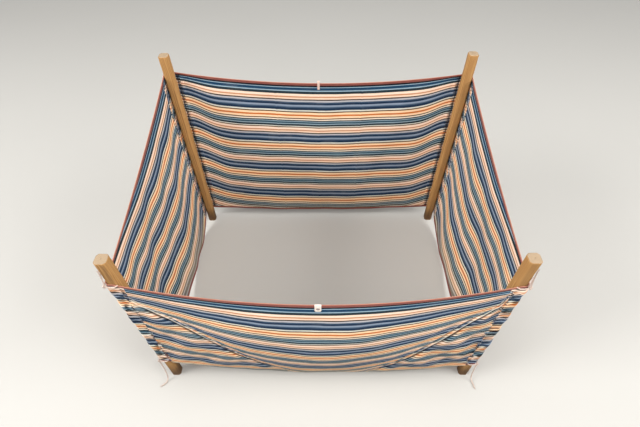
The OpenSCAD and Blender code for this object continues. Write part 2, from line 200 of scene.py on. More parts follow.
def at_distances(wanted, far, path):
    """Points of a path at wanted distances, where far holds the distances of its own points."""
    return np.stack([np.interp(wanted, far, path[:, k]) for k in range(path.shape[1])], axis=-1)


def grid(*values):
    """Vectors of values that are broadcast to one grid."""
    return np.stack(np.broadcast_arrays(*values), axis=-1)


def post_centre(name):
    """Plan centre of a post."""
    low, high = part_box(name + "_post")
    return np.array([(low.x + high.x) / 2, (low.y + high.y) / 2])


POST_CENTRES = [post_centre(name) for name in CORNERS]
POST_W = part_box("front_left_post")[1].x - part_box("front_left_post")[0].x
CHAMFER = 0.009
FLAT_HALF = POST_W / 2 - CHAMFER
MITRE = math.tan(math.pi / 8)
SPANS = [float(np.linalg.norm(POST_CENTRES[(i + 1) % 4] - POST_CENTRES[i])) for i in range(4)]
TOPS = [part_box(name + "_corner")[1].z for name in CORNERS]
BOTTOMS = [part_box(name + "_corner")[0].z for name in CORNERS]


def place(i, along, out, height):
    """Points of side i or corner i in the frame, from distances along it, outward and up: each side is
    turned a quarter from the one before."""
    c, s = round(math.cos(QUARTER * i)), round(math.sin(QUARTER * i))
    x, y = POST_CENTRES[i]
    return grid(x + c * along + s * out, y + s * along - c * out, height)


# A piece of cloth is a grid: columns at distances x along a side or round a post, and rows at cloth
# distances q down from the top edge. Arrays by column are one wide, so that they broadcast over the rows.


def edge_heights(i, u):
    """Heights of the top and bottom edges of side i: straight between the posts, less a bow of sag or drop,
    which is a parabola except along the foot of the two sides, where it is flatter."""
    p = cloth_sizes()
    j = (i + 1) % 4
    side_drop = (BOTTOMS[i] + BOTTOMS[j]) / 2 - p.side_low
    sag = (p.front_sag, p.side_sag, p.back_sag, p.side_sag)[i]
    drop = (p.front_drop, side_drop, p.back_drop, side_drop)[i]
    bow = arch(u) if i in (FRONT, BACK) else broad_arch(u)
    return mix(TOPS[i], TOPS[j], u) - sag * arch(u), mix(BOTTOMS[i], BOTTOMS[j], u) - drop * bow


# Cloth that a corner takes up: the most and the reach at a front tie, then the most and the power that sets
# its height at a back post, on a side and on the back
TIE_TAKES_UP, SIDE_TAKES_UP, BACK_TAKES_UP = (0.098, 0.222), (0.085, 1.6), (0.052, 0.75)
# Gathers at each corner: how far they stand out, and two shifts that make their spacing uneven
GATHERS = ((0.0056, 0.10, 0.40), (0.0066, 0.62, 0.15), (0.0018, 0.33, 0.80), (0.0018, 0.85, 0.55))


def gather(corner, q):
    """Rise of the gathers at a corner for cloth distances q: round folds with a sharp valley between them,
    from the size of a sine whose phase counts steadily with two slow waves on it, and an uneven height."""
    rise, a, b = GATHERS[corner]
    waves = 0.55 * np.sin(TURN * (q / 0.23 + a)) + 0.25 * np.sin(TURN * (q / 0.09 + b))
    uneven = 0.70 + 0.30 * np.sin(TURN * (q / 0.13 + a + b))
    return rise * uneven * np.abs(np.sin(TURN * (q / cloth_sizes().gather + waves) / 2)) ** 0.8


def clear_of_binding(q):
    """0 within the binding and 1 a little below it, for cloth distances from the edge."""
    return smooth(q, 0.014, 0.03)


def gathers_near(corner, beyond, q, reach):
    """The gathers of a corner, which die away over a reach beyond its seam."""
    return gather(corner, q) * np.exp(-(np.clip(beyond, 0, None) / reach)) * clear_of_binding(q)


def taken_up(corner, q, side):
    """Cloth that a corner takes up above cloth distance q on one side of it: the tie of a front post draws
    up the top of the cloth, which dies away below it, and at a back post the sides are drawn up most a
    little below their middle and the back above it."""
    if corner in FRONT_CORNERS:
        most, reach = TIE_TAKES_UP
        return most * np.tanh(q / reach)
    most, power = BACK_TAKES_UP if side == BACK else SIDE_TAKES_UP
    return most * np.sin(math.pi * np.clip(q / 0.99, 0, 1) ** power)


def spread_columns(start, end, count, crowding):
    """Distances from start to end, closer together at both ends."""
    s = np.linspace(0, 1, count + 1)[:, None]
    return start + (end - start) * (s - crowding * np.sin(TURN * s) / TURN)


# Columns of each kind of cloth, and its rows: inside a binding, down the cloth, and over the bend and the
# hem of the front
FRONT_COLUMNS, SIDE_COLUMNS, BACK_COLUMNS, WRAP_COLUMNS = 206, 190, 250, 52
BOUND_ROWS, HUNG_ROWS, BEND_ROWS, HEM_ROWS, SIDE_ROWS = 4, 190, 5, 14, 168
FRONT_WRAP_ROWS, BACK_WRAP_ROWS = 380, 300


def bound_stops(edge, inward):
    """Stops of the rows inside a binding, from the edge inward."""
    return [edge + inward * cloth_sizes().binding * k / BOUND_ROWS for k in range(BOUND_ROWS + 1)]


def cloth_rows(end, between, counts):
    """Rows of cloth distances down to an end, with counts of rows from each stop to the next: the stops of
    both bindings, and those between them."""
    stops = [*bound_stops(0 * end, 1), *between, *bound_stops(end, -1)[::-1]]
    bound = [1] * BOUND_ROWS
    parts = [mix(a, b, np.arange(n) / n) for a, b, n in zip(stops, stops[1:], [*bound, *counts, *bound])]
    return np.concatenate([*parts, stops[-1]], axis=1)


def slow_waves(x, t, waves):
    """Sum of slow waves over the cloth: each has a height, a length, a slope of its crests and a shift."""
    return sum(a * np.sin(TURN * ((x + slope * t) / span + shift)) for a, span, slope, shift in waves)


def cloth_end(depth_of, height):
    """Cloth distance at which each column reaches its bottom edge, found on a fine ladder of distances."""
    ladder = np.linspace(0.3, 1.2, 1801)
    depth = depth_of(ladder[None, :].repeat(len(height), axis=0))
    return ladder[np.argmax(depth >= height, axis=1)][:, None]


# Main crease of the front cloth from each post: the cloth distance where it turns straight, and then for
# each corner its distance from the post there and how fast it moves away below
CREASE_STRAIGHT_FROM = 0.2
CREASE_LINES = ((0.050, 0.80), (0.042, 0.66))
# Ridges beside the main crease: shift, height and width
RIDGES = (
    ((0.000, 0.0052, 0.0090), (0.045, 0.0032, 0.011), (0.120, 0.0020, 0.020)),
    ((0.000, 0.0054, 0.0090), (0.052, 0.0030, 0.012), (0.140, 0.0020, 0.022)),
)
# How far the stripes of the front cloth are drawn up at each seam, above their level at the main crease,
# and the cloth distances between which that grows
SEAM_RISES = ((0.085, 0.26, 0.56), (0.050, 0.02, 0.14))
# Depth that a length of cloth takes at the middle of the front, as a share of it
MIDDLE_DEPTH = 0.985
# Height of the front's hem on the ground, to the middle of its cloth
HEM_HEIGHT = 0.0030
FRONT_WAVES = ((0.0014, 0.47, 0.5, 0.1), (0.0010, 0.29, -0.7, 0.6), (0.0005, 0.13, 0.9, 0.3))


def from_front_posts(x):
    """Each front corner with the distances of the columns from its post."""
    return (FRONT, x), (RIGHT, SPANS[FRONT] - x)


def crease_at(corner, q):
    """Distance of the main crease from its post at a cloth distance: a parabola, then a straight line."""
    start, slope = CREASE_LINES[corner]
    turn = CREASE_STRAIGHT_FROM
    return np.where(q < turn, start * (q / turn) ** 2, start + slope * (q - turn))


def front_height(corner, distance, q):
    """Height of the front cloth at a distance from one of its posts. A stripe drops in a parabola from the
    seam to the main crease, and from there in another down to the middle."""
    p = cloth_sizes()
    post = TOPS[corner] - q + taken_up(corner, q, FRONT)
    middle = (TOPS[FRONT] + TOPS[RIGHT]) / 2 - p.front_sag
    line = crease_at(corner, q)
    r = np.clip((distance - line) / (SPANS[FRONT] / 2 - line), 0, 1)
    slack = 1 - np.clip((distance - p.front_seam) / np.maximum(line - p.front_seam, 0.02), 0, 1)
    rise, low, high = SEAM_RISES[corner]
    drop = mix(post, middle - MIDDLE_DEPTH * q, 1 - (1 - r) ** 2)
    return drop + rise * smooth(q, low, high) * slack**2


def front_depth(x, q):
    """Depth of the front cloth below its top edge, from the nearer post."""
    left, right = (
        front_height(corner, distance, 0 * q) - front_height(corner, distance, q)
        for corner, distance in from_front_posts(x)
    )
    return np.where(x < SPANS[FRONT] / 2, left, right)


def front_folds(x, q):
    """Outward folds of the front cloth: sharp ridges along the creases, with a hollow under each, and the
    slack cloth between a crease and its post, which stands proud in soft puffs."""
    out = 0
    for corner, distance in from_front_posts(x):
        line = crease_at(corner, q)
        fade = smooth(q, 0.10, 0.30) * (1 - smooth(distance, 0.44, 0.60))
        for shift, rise, width in RIDGES[corner]:
            away = (distance - line - shift * smooth(q, 0.0, 0.35)) / width
            ridge = np.exp(-np.abs(away) ** 1.4) - 0.35 * np.exp(-(((away + 2.2) / 1.4) ** 2))
            out = out + rise * ridge * fade
        slack = smooth(line - distance, 0.0, 0.05) * smooth(distance, 0.03, 0.09)
        puffs = slow_waves(distance, q, ((0.0030, 0.21, 0.5, 0.2 * corner), (0.0011, 0.085, -0.6, 0.5)))
        out = out + slack * (0.004 + puffs * (1 + 0.6 * corner))
    return out


def crease_marks(x, q):
    """Distances of the front cloth from its nearer main crease and from the fold beside it, and how strong
    the painted highlight along both is, which fades toward the foot and the middle of the span."""
    on_left = x < SPANS[FRONT] / 2
    near = np.where(on_left, x, SPANS[FRONT] - x)
    main = near - np.where(on_left, crease_at(FRONT, q), crease_at(RIGHT, q))
    highlight_share = smooth(q, 0.03, 0.10) * (1 - smooth(near, 0.36, 0.56)) * (1 - smooth(q, 0.52, 0.66))
    return np.stack([main, main - 0.045 * smooth(q, 0.0, 0.35), highlight_share], -1)


def front_cloth():
    """Front cloth as points and cloth distances: it hangs by its depth, bellies and folds outward, and
    what is left at the foot bends in and lies on the ground."""
    p = cloth_sizes()
    span, seam = SPANS[FRONT], p.front_seam
    x = spread_columns(seam, span - seam, FRONT_COLUMNS, 0.55)
    u = x / span
    top, low = edge_heights(FRONT, u)
    height = top - low
    foot = cloth_end(lambda q: front_depth(x, q), height)
    bend = p.turn_radius * QUARTER
    reach = mix(p.turn_in_ends, p.turn_in, arch(u))
    q = cloth_rows(foot + bend + reach, (foot, foot + bend), (HUNG_ROWS, BEND_ROWS, HEM_ROWS))
    foot_row = [BOUND_ROWS + HUNG_ROWS]
    hung = np.minimum(q, foot)
    t = front_depth(x, hung)
    t = t * (height / t[:, foot_row])
    v = t / height
    calm = smooth(q, 0.02, 0.12) * smooth(arch(u), 0.0, 0.25)
    folds = front_folds(x, hung) * smooth(hung, 0.015, 0.09) * (1 - 0.75 * smooth(v, 0.86, 1.0))
    out = p.front_belly * arch(u) * np.sin(math.pi * v) + folds
    out = out + calm * slow_waves(x, t, FRONT_WAVES)
    for corner, distance in from_front_posts(x):
        spread = 0.022 + 0.008 * np.sin(TURN * hung / 0.17 + corner)
        out = out + gathers_near(corner, distance - seam, hung, spread)
    # Below the foot the cloth bends inward and lies down on the ground
    past = q - foot
    angle = np.clip(past / p.turn_radius, 0, QUARTER)
    level = low - p.turn_radius
    rest = mix(level, HEM_HEIGHT, arch(u))
    along = np.clip(past - bend, 0, None)
    share = along / reach
    turned_z = low - p.turn_radius * np.sin(angle) + (rest - level) * share
    turned_out = out[:, foot_row] * (1 - share) - p.turn_radius * (1 - np.cos(angle)) - along
    wrinkle = 0.004 * np.sin(TURN * (x / 0.21 + 3 * along)) * share * arch(u)
    z = np.where(past > 0, turned_z + np.abs(wrinkle), top - t)
    out = np.where(past > 0, turned_out, out)
    return place(FRONT, x, POST_W / 2 + p.stand_off + out, z), grid(x, q)


SIDE_WAVES = {
    RIGHT: ((0.0022, 0.310, 0.35, 0.15), (0.0006, 0.140, -0.30, 0.55)),
    BACK: ((0.0022, 0.520, 0.30, 0.20), (0.0013, 0.210, -0.40, 0.70)),
    LEFT: ((0.0026, 0.270, -0.35, 0.35), (0.0008, 0.150, 0.30, 0.05)),
}
# How far along a side each corner draws the cloth up, and along the back
DRAWN = (0.34, 0.34, 0.15, 0.12)
DRAWN_BACK = 0.10
# Broad folds of a side cloth: distance from the front post to the first crest, lean, and crest to crest
FOLD_START, FOLD_LEAN, FOLD_LENGTH = 0.30, 0.15, 0.70
# Storage folds across the back, as shares of its length
STORAGE_FOLDS = (0.345, 0.502, 0.655)


def pulled(i, u):
    """How far the cloth of side i is pulled down: a little in the middle of the back, and on a side more
    toward the back."""
    if i == BACK:
        return mix(1, 1.033, smooth(arch(u), 0.0, 0.45))
    return 1.11 + 0.15 * smooth(u if i == RIGHT else 1 - u, 0.10, 0.75)


def turned_under(distance, q):
    """Cloth that the binding hides at a front corner, where the stripes don't run along the edge: at a
    distance from the post along a side."""
    return 0.044 * np.exp(-q / 0.075) * (1 - smooth(distance, 0.05, 0.52))


def seam_of(corner):
    """Distance from a post's centre to the seams beside it."""
    return cloth_sizes().front_seam if corner in FRONT_CORNERS else cloth_sizes().back_seam


def plain_cloth(i):
    """Cloth of a side or the back as points and cloth distances: it hangs by its distance less what its
    corners take up, and a belly, broad folds and slow waves carry it outward."""
    p = cloth_sizes()
    span, j = SPANS[i], (i + 1) % 4
    x = spread_columns(seam_of(i), span - seam_of(j), BACK_COLUMNS if i == BACK else SIDE_COLUMNS, 0.40)
    u = x / span
    top, low = edge_heights(i, u)
    height = top - low
    ends = ((i, x - seam_of(i)), (j, span - x - seam_of(j)))
    from_front = x if i == RIGHT else span - x

    def depth(q):
        """Depth below the top edge of a cloth distance, before it is fitted to the height."""
        drawn = q * pulled(i, u)
        for corner, beyond in ends:
            away = beyond / (DRAWN_BACK if i == BACK else DRAWN[corner])
            drawn = drawn - taken_up(corner, q, i) * np.exp(-(away**2))
        return drawn

    end = cloth_end(depth, height)
    q = cloth_rows(end, (), (SIDE_ROWS,))
    t = depth(q)
    t = t * (height / t[:, [-1]])
    v = t / height
    if i == BACK:
        out = p.back_belly * arch(u) * np.sin(math.pi * v)
    else:
        fold = p.side_fold * np.cos(TURN * (from_front - FOLD_START - FOLD_LEAN * v) / FOLD_LENGTH)
        out = arch(u) * np.sin(math.pi * v**1.4) * (p.side_belly + fold)
    calm = smooth(q, 0.02, 0.16) * smooth(arch(u), 0.02, 0.45)
    out = out + calm * slow_waves(x, t, SIDE_WAVES[i])
    for corner, beyond in ends:
        reach = 0.035 if corner in FRONT_CORNERS else 0.060
        out = out + gathers_near(corner, beyond, q, reach) * clear_of_binding(end - q)
    if i == BACK:
        for share in STORAGE_FOLDS:
            out = out - 0.0022 * np.exp(-(((x - share * span) / 0.0035) ** 2)) * smooth(q, 0.02, 0.06)
    else:
        q = q + turned_under(from_front, q)
    return place(i, x, POST_W / 2 + p.stand_off + out, top - t), grid(x, q)


def wrap_line(face, edge, half, distances):
    """Plan points and outward directions of the cloth round a post, at distances along it from the outer
    corner: straight along both faces and across the chamfer, with rounded bends. A face is a distance off
    the post's centre, and its edge and half the chamfer's width are measured on the cloth's own line."""
    bend = 0.005
    turn = smooth(np.abs(distances), half - bend, half + bend) * QUARTER / 2 * np.sign(distances)
    # The direction of travel turns from the chamfer's to a face's, and its sum gives the line
    heading = -QUARTER / 2 + turn
    middle = (heading[1:] + heading[:-1]) / 2
    x, y = (running(part(middle) * np.diff(distances)) for part in (np.cos, np.sin))
    centre = np.argmin(np.abs(distances))
    start = -(face + edge) / 2
    line = x - x[centre] + start, y - y[centre] + start, np.sin(heading), -np.cos(heading)
    return [part[:, None] for part in line]


def wrap_cloth(i):
    """Cloth round post i, seam to seam, as points and cloth distances. It stands off the post by its
    gathers, and beyond the post its edges follow those of the cloth on each side."""
    p = cloth_sizes()
    face, edge = POST_W / 2 + p.stand_off, FLAT_HALF + p.stand_off * MITRE
    half = math.hypot(face - edge, face - edge) / 2
    reach = half + edge + seam_of(i)
    distances = np.linspace(-reach, reach, WRAP_COLUMNS + 1)
    x, y, nx, ny = wrap_line(face, edge, half, distances)
    distances = distances[:, None]
    beyond = np.clip(np.abs(distances) - half - edge, 0, None)
    before = edge_heights((i - 1) % 4, 1 - beyond / SPANS[i - 1])
    after = edge_heights(i, beyond / SPANS[i])
    top, low = (np.where(distances < 0, a, b) for a, b in zip(before, after))
    height = top - low
    end = cloth_end(lambda q: q - taken_up(i, q, BACK), height)
    rows = FRONT_WRAP_ROWS if i in FRONT_CORNERS else BACK_WRAP_ROWS
    q = cloth_rows(end, (), (rows,))
    t = q - taken_up(i, q, BACK)
    t = t * (height / t[:, [-1]])
    across = distances / reach
    swell = 1 + 0.15 * (1 - across**2) * np.sin(TURN * (q / 0.26) + 3 * across)
    out = gather(i, q + 0.004 * np.sin(2.5 * across + 11 * q)) * swell
    out = out * clear_of_binding(q) * clear_of_binding(end - q)
    if i in FRONT_CORNERS:
        q = q + turned_under(0, q) + 0.013 * across**2
    return place(i, x + nx * out, -(y + ny * out), top - t), grid(distances, q)


@functools.cache
def cloth_of(kind, i):
    """Points and cloth distances of a side or a wrap, worked out once."""
    if kind == "wrap":
        return wrap_cloth(i)
    return front_cloth() if i == FRONT else plain_cloth(i)


def painted_post_shade(i, uv):
    """How dark the painted shade of post i is on the back's part of its wrap: most at the post, further out
    in a valley.
    """
    toward_back = uv[..., 0] if i == BACK else -uv[..., 0]
    off = toward_back - uv[-1, 0, 0] + cloth_sizes().back_seam - POST_W / 2
    valley = 1 - gather(i, uv[..., 1]) / GATHERS[i][0]
    return np.where(off > -0.003, np.clip(1.1 - off / (0.005 + 0.013 * valley), 0, 1), 0)


def grid_normals(points):
    """Outward normals of a grid of points, from the cross product of its two directions."""
    return -unit(np.cross(np.gradient(points, axis=0), np.gradient(points, axis=1)))


def grid_faces(columns, rows, wrap_columns=False, wrap_rows=False, flip=False):
    """Quads of a grid of points, joined round where it wraps."""
    a = np.arange(columns if wrap_columns else columns - 1)[:, None]
    b = np.arange(rows if wrap_rows else rows - 1)[None, :]
    c, d = (a + 1) % columns, (b + 1) % rows
    quads = grid(a * rows + b, a * rows + d, c * rows + d, c * rows + b).reshape(-1, 4)
    return (quads[:, ::-1] if flip else quads).tolist()


def hollows(points, rows=7):
    """How deep each point of a cloth lies below the cloth above and below it, as a share of 2.2 mm: the
    mean of its column over some rows each way, less the point, along the outward normal."""
    padded = np.pad(points, ((0, 0), (rows + 1, rows), (0, 0)), "edge")
    total = np.cumsum(padded, axis=1)
    mean = (total[:, 2 * rows + 1 :] - total[:, : -2 * rows - 1]) / (2 * rows + 1)
    return np.clip(np.sum((mean - points) * grid_normals(points), -1) / 0.0022, 0, 1)


class Value:
    """A shader socket, on which the usual operators add Math nodes."""

    def __init__(self, finish, socket):
        self.finish, self.socket = finish, socket

    def call(self, operation, *others):
        """A Math node on this value and others."""
        inputs = dict(enumerate([self, *others]))
        node = self.finish.node("ShaderNodeMath", {"operation": operation}, inputs)
        return Value(self.finish, node.outputs[0])

    def __add__(self, other):
        return self.call("ADD", other)

    def __sub__(self, other):
        return self.call("SUBTRACT", other)

    def __mul__(self, other):
        return self.call("MULTIPLY", other)

    def __truediv__(self, other):
        return self.call("DIVIDE", other)

    def __rsub__(self, other):
        return self * -1 + other

    __radd__, __rmul__ = __add__, __mul__

    def step(self, low, high):
        """Smooth step from 0 at low to 1 at high."""
        inputs = {"Value": self, "From Min": low, "From Max": high}
        node = self.finish.node("ShaderNodeMapRange", {"interpolation_type": "SMOOTHSTEP"}, inputs)
        return Value(self.finish, node.outputs[0])

    def wave(self, span):
        """Sine of this value, once in a span."""
        return (self * (TURN / span)).call("SINE")


class Finish:
    """A material whose nodes are added by one method, around a Principled shader. Colours are given as web
    codes, linear values or sockets."""

    def __init__(self, name, constants):
        self.material = bpy.data.materials.new(name)
        self.material.use_nodes = True
        self.tree = self.material.node_tree
        self.shader = self.tree.nodes["Principled BSDF"]
        for key, value in constants.items():
            self.plug(self.shader.inputs[key], value)

    def node(self, kind, settings=None, inputs=None):
        """A node of a kind, with its settings made first and then its sockets' values or links."""
        node = self.tree.nodes.new(kind)
        for key, value in (settings or {}).items():
            if key == "stops":
                self.set_stops(node.color_ramp, *value)
            else:
                setattr(node, key, value)
        for key, value in (inputs or {}).items():
            self.plug(node.inputs[key], value)
        return node

    @staticmethod
    def set_stops(ramp, interpolation, colours):
        """Puts a ramp's stops, each a position and a colour, and how it goes between them."""
        ramp.interpolation = interpolation
        while len(ramp.elements) < len(colours):
            ramp.elements.new(1.0)
        for element, (at, rgb) in zip(ramp.elements, colours):
            element.position, element.color = at, (*rgb, 1.0)

    def plug(self, socket, value):
        """Links a socket, or gives it a value."""
        value = value.socket if isinstance(value, Value) else value
        if isinstance(value, bpy.types.NodeSocket):
            self.tree.links.new(value, socket)
        elif socket.type == "RGBA":
            socket.default_value = (*(linear(value) if isinstance(value, str) else value), 1.0)
        else:
            socket.default_value = value

    def split(self, vector):
        """Three numbers of a vector."""
        return [Value(self, s) for s in self.node("ShaderNodeSeparateXYZ", inputs={0: vector}).outputs]

    def attribute(self, name):
        """Three numbers of a piece's own attribute."""
        return self.split(self.node("ShaderNodeAttribute", {"attribute_name": name}).outputs["Vector"])

    def distances(self):
        """Distances along and across a piece, from its UV map."""
        return self.split(self.node("ShaderNodeUVMap", {"uv_map": "UVMap"}).outputs[0])[:2]

    def position(self):
        """Place in the frame, since a finished piece stands at its origin."""
        return self.node("ShaderNodeTexCoord").outputs["Object"]

    def join(self, x=0.0, y=0.0, z=0.0):
        """A vector of three numbers."""
        return self.node("ShaderNodeCombineXYZ", inputs={0: x, 1: y, 2: z}).outputs[0]

    def noise(self, spot, detail=3.0, roughness=0.5, scale=1.0):
        """Value of a noise from 0 to 1 at a spot, a vector or two or three numbers."""
        spot = self.join(*spot) if isinstance(spot, tuple) else spot
        inputs = {"Vector": spot, "Scale": scale, "Detail": detail, "Roughness": roughness}
        return Value(self, self.node("ShaderNodeTexNoise", inputs=inputs).outputs[0])

    def blend(self, factor, a, b, kind="MIX"):
        """One colour mixed with another."""
        settings = {"data_type": "RGBA", "blend_type": kind}
        return self.node("ShaderNodeMix", settings, {0: factor, 6: a, 7: b}).outputs[2]

    def coats(self, tone, *layers):
        """A colour under layers of others, each with its factor."""
        for factor, over in layers:
            tone = self.blend(factor, tone, over)
        return tone

    def bands(self, stripes, whole, share):
        """Sharp bands of dye, at a share from 0 to 1 of their whole width."""
        starts = running([width / 1000 / whole for width, _ in stripes])
        colours = [(at, linear(DYES[dye])) for at, (_, dye) in zip(starts, stripes)]
        return self.node("ShaderNodeValToRGB", {"stops": ("CONSTANT", colours)}, {0: share}).outputs[0]

    def done(self, colour, roughness, height, distance, strength):
        """The material with its colour, its roughness and a bump from a height."""
        inputs = {"Height": height, "Distance": distance, "Strength": strength}
        normal = self.node("ShaderNodeBump", inputs=inputs).outputs[0]
        for key, value in (("Base Color", colour), ("Roughness", roughness), ("Normal", normal)):
            self.plug(self.shader.inputs[key], value)
        return self.material


def canvas_finish(name):
    """Striped canvas: stripes by distance down the cloth, uneven yarns, a plain weave, fading, dust near
    the ground, a painted highlight along the creases and painted shade in the hollows."""
    made = Finish(name, {"Roughness": 0.88, "Specular IOR Level": 0.12})
    along, down = made.distances()
    yarn = made.noise((along * 14.0, down * 900.0), 2.0)
    wobble = made.noise((along * 6.0, down * 22.0), 2.0)
    below = down - 0.012 + ((yarn - 0.5) * 0.0011 + (wobble - 0.5) * 0.0022)
    border, repeat, covered = (
        sum(width for width, _ in part) / 1000 for part in (BORDER, STRIPES, STRIPES[:COVERED_STRIPES])
    )
    repeated = made.bands(STRIPES, repeat, ((below - border + covered) / repeat).call("FRACT"))
    bordered = made.bands(BORDER, border, below / border)
    stripe = made.blend(below.call("LESS_THAN", border), repeated, bordered)
    slub = made.noise((along * 9.0, down * 420.0), 3.0, 0.65)
    patch = made.noise((along, down), scale=3.1)
    grit = made.noise((along, down), 4.0, 0.7, 60.0)
    shade = (slub - 0.5) * 0.34 + (patch - 0.5) * 0.16 + 1.0
    grey = made.node("ShaderNodeCombineColor", inputs={0: shade, 1: shade, 2: shade}).outputs[0]
    faded = made.noise((along, down), 4.0, 0.6, 7.0).step(0.50, 0.85) * 0.08
    above_ground = made.split(made.position())[2]
    dust = (1 - (above_ground + (grit - 0.5) * 0.12).step(0.0, 0.17)) * 0.42
    # Painted highlight: pale lines along the main crease and the fold beside it
    main, beside, highlight_share = made.attribute("crease")
    ragged = (grit - 0.5) * 0.0030
    line = 1 - (main + ragged).call("ABSOLUTE").step(0.0012, 0.0072)
    line = line + (1 - (beside + ragged).call("ABSOLUTE").step(0.0010, 0.0062)) * 0.9
    crease_highlight = line * highlight_share * patch.step(0.30, 0.50) * 0.72
    # Painted shade: the hollows of the cloth, and the post's shade beside the back posts, coated toward
    # near black
    hollow_shade = made.attribute("hollow_shade")[0].step(0.0, 1.0) * 0.80
    tone = made.coats(
        made.blend(1.0, stripe, grey, "MULTIPLY"),
        (faded, "E6DCCB"), (dust, "CDB690"), (crease_highlight, "EDE0CC"), (hollow_shade, "1E1A1C"),
    )
    weave = along.wave(0.0022) * down.wave(0.0018)
    return made.done(tone, 0.84 + slub * 0.10, weave * 0.5 + slub * 0.9 + grit * 0.25, 0.0005, 0.55)


def tape_finish(name, base, dark, soil, fold_highlight=None):
    """Woven tape: a fine twill, uneven yarns and soiled, rubbed patches. A tape over an edge may have a
    painted highlight along its fold."""
    made = Finish(name, {"Roughness": 0.9, "Sheen Weight": 0.1})
    along, across = made.distances()
    twill = (along + across * 1.3).wave(0.0019)
    slub = made.noise((along * 120.0, across * 700.0), 3.0, 0.6)
    patch = made.noise((along * 9.0, across * 20.0))
    tone = made.blend((slub - 0.5) * 0.8 + 0.35 + twill * 0.10, base, dark)
    if fold_highlight is not None:
        # Painted highlight: a pale band along the fold of the tape
        fold = 1 - (across.call("ABSOLUTE") + (slub - 0.5) * 0.006).step(0.0005, 0.0120)
        tone = made.blend(fold * 0.65, tone, fold_highlight)
    tone = made.blend(patch.step(0.45, 0.85) * soil, tone, "D8B79B")
    height = twill * 0.4 + across.wave(0.0011) * 0.3 + slub
    return made.done(tone, 0.84 + patch * 0.12, height, 0.0004, 0.6)


def cord_finish(name, base, dark):
    """Twisted cord: strands come from its shape, and fine fibres and soiling from here."""
    made = Finish(name, {"Roughness": 0.92, "Sheen Weight": 0.2})
    along, around = made.distances()
    fibre = made.noise((along * 260.0 + around * 3.0, around * 4.0), 3.0, 0.6)
    patch = made.noise((along * 30.0, around), 2.0)
    tone = made.coats(dark, (fibre.step(0.30, 0.75), base), (patch.step(0.5, 0.9) * 0.35, "BFA489"))
    return made.done(tone, 0.85 + fibre * 0.12, fibre, 0.0004, 0.7)


def timber_finish(name, base):
    """Weathered pine: growth rings about an off-centre heart, streaks along the grain, knots, end grain, a
    worn top and a dark foot, damp and with painted shade."""
    made = Finish(name, {"Roughness": 0.7})
    x, y, z = made.attribute("place")

    def drawn_out(across, along):
        """The place in the timber, scaled across and along its grain."""
        return x * across, y * across, z * along

    warp = made.noise(drawn_out(9.0, 1.1))
    warp_two = made.noise((x * 9.0 + 5.0, y * 9.0, z * 1.1))
    spot = {"Vector": made.join(*drawn_out(9.0, 2.7)), "Scale": 1.0}
    near = Value(made, made.node("ShaderNodeTexVoronoi", {"feature": "F1"}, spot).outputs["Distance"])
    knot, halo = 1 - near.step(0.06, 0.17), 1 - near.step(0.10, 0.42)
    px = x + 0.021 + (warp - 0.5) * 0.030
    py = y - 0.013 + (warp_two - 0.5) * 0.030
    radius = (px * px + py * py).call("SQRT") + halo * 0.006
    late = (radius.wave(0.0046) * 0.5 + 0.5).call("POWER", 3.0)
    streak = made.noise(drawn_out(240.0, 5.0), 4.0, 0.62)
    broad = made.noise(drawn_out(14.0, 1.6))
    speck = made.noise(drawn_out(500.0, 500.0), 3.0, 0.7)
    sawn = made.noise(drawn_out(40.0, 18.0), 4.0, 0.6)
    cut = made.attribute("facing")[2].step(0.75, 0.95)
    # Darker toward the foot: damp from the ground, and painted shade
    damp_and_shade = 1 - (z + (sawn - 0.5) * 0.08).step(0.025, 0.150)
    end_tone = made.coats("A08A6E", (late * 0.80, "765D42"), (speck.step(0.50, 0.72) * 0.40, "5C4631"))
    tone = made.coats(
        base, (late * 0.62, "6A441F"), (streak.step(0.42, 0.78) * 0.50, "CDA268"),
        (broad.step(0.45, 0.75) * 0.50, "7A5E3C"), (knot * 0.85, "54341A"), (cut, end_tone),
        (damp_and_shade * 0.78, "3A2415"),
    )
    saw = (z * (TURN / 0.0052) + sawn * 5.0).call("SINE")
    height = streak * 0.8 - late * 0.5 - knot * 0.4 + saw * 0.10 + speck * cut * 0.6
    return made.done(tone, 0.72 + streak * 0.15 - damp_and_shade * 0.18, height, 0.0009, 0.6)


def floor_finish(name, base):
    """Plain pale floor, a little uneven in tone. It is darker to the light that it sends back up than to
    the eye, so that the faces of the cloth near it aren't lit from below."""
    made = Finish(name, {"Roughness": 0.9})
    patch = made.noise(made.position(), scale=0.9)
    seen = made.blend(patch.step(0.3, 0.8) * 0.10, base, "ABA8A2")
    eye = made.node("ShaderNodeLightPath").outputs["Is Camera Ray"]
    made.plug(made.shader.inputs["Base Color"], made.blend(eye, "807D78", seen))
    return made.material


def material_of(name):
    """A finish by its name, made once."""
    dyes = bpy.context.scene.windbreak_dyes
    maker, *values = {
        "striped_canvas": (canvas_finish,),
        # The edge tape's last colour is a painted highlight along its fold
        "edge_tape": (tape_finish, dyes.binding, "5C2A22", 0.10, "C58A70"),
        "white_tape": (tape_finish, dyes.tape, "C7B6A8", 0.35),
        "pale_tape": (tape_finish, "E8CDBE", "C49E8D", 0.30),
        "tie_cord": (cord_finish, dyes.cord, "A88F80"),
        # The dark lacing thread is partly painted shade of the posts
        "dark_thread": (cord_finish, dyes.thread, "121018"),
        "tan_thread": (cord_finish, "BD9984", "8A6654"),
        "rust_thread": (cord_finish, dyes.rust, "4E1D16"),
        "weathered_pine": (timber_finish, dyes.wood),
        "studio_floor": (floor_finish, dyes.floor),
    }[name]
    return bpy.data.materials.get(name) or maker(name, *values)


def link_new(name, data):
    """A new object in the scene."""
    thing = bpy.data.objects.new(name, data)
    bpy.context.scene.collection.objects.link(thing)
    return thing


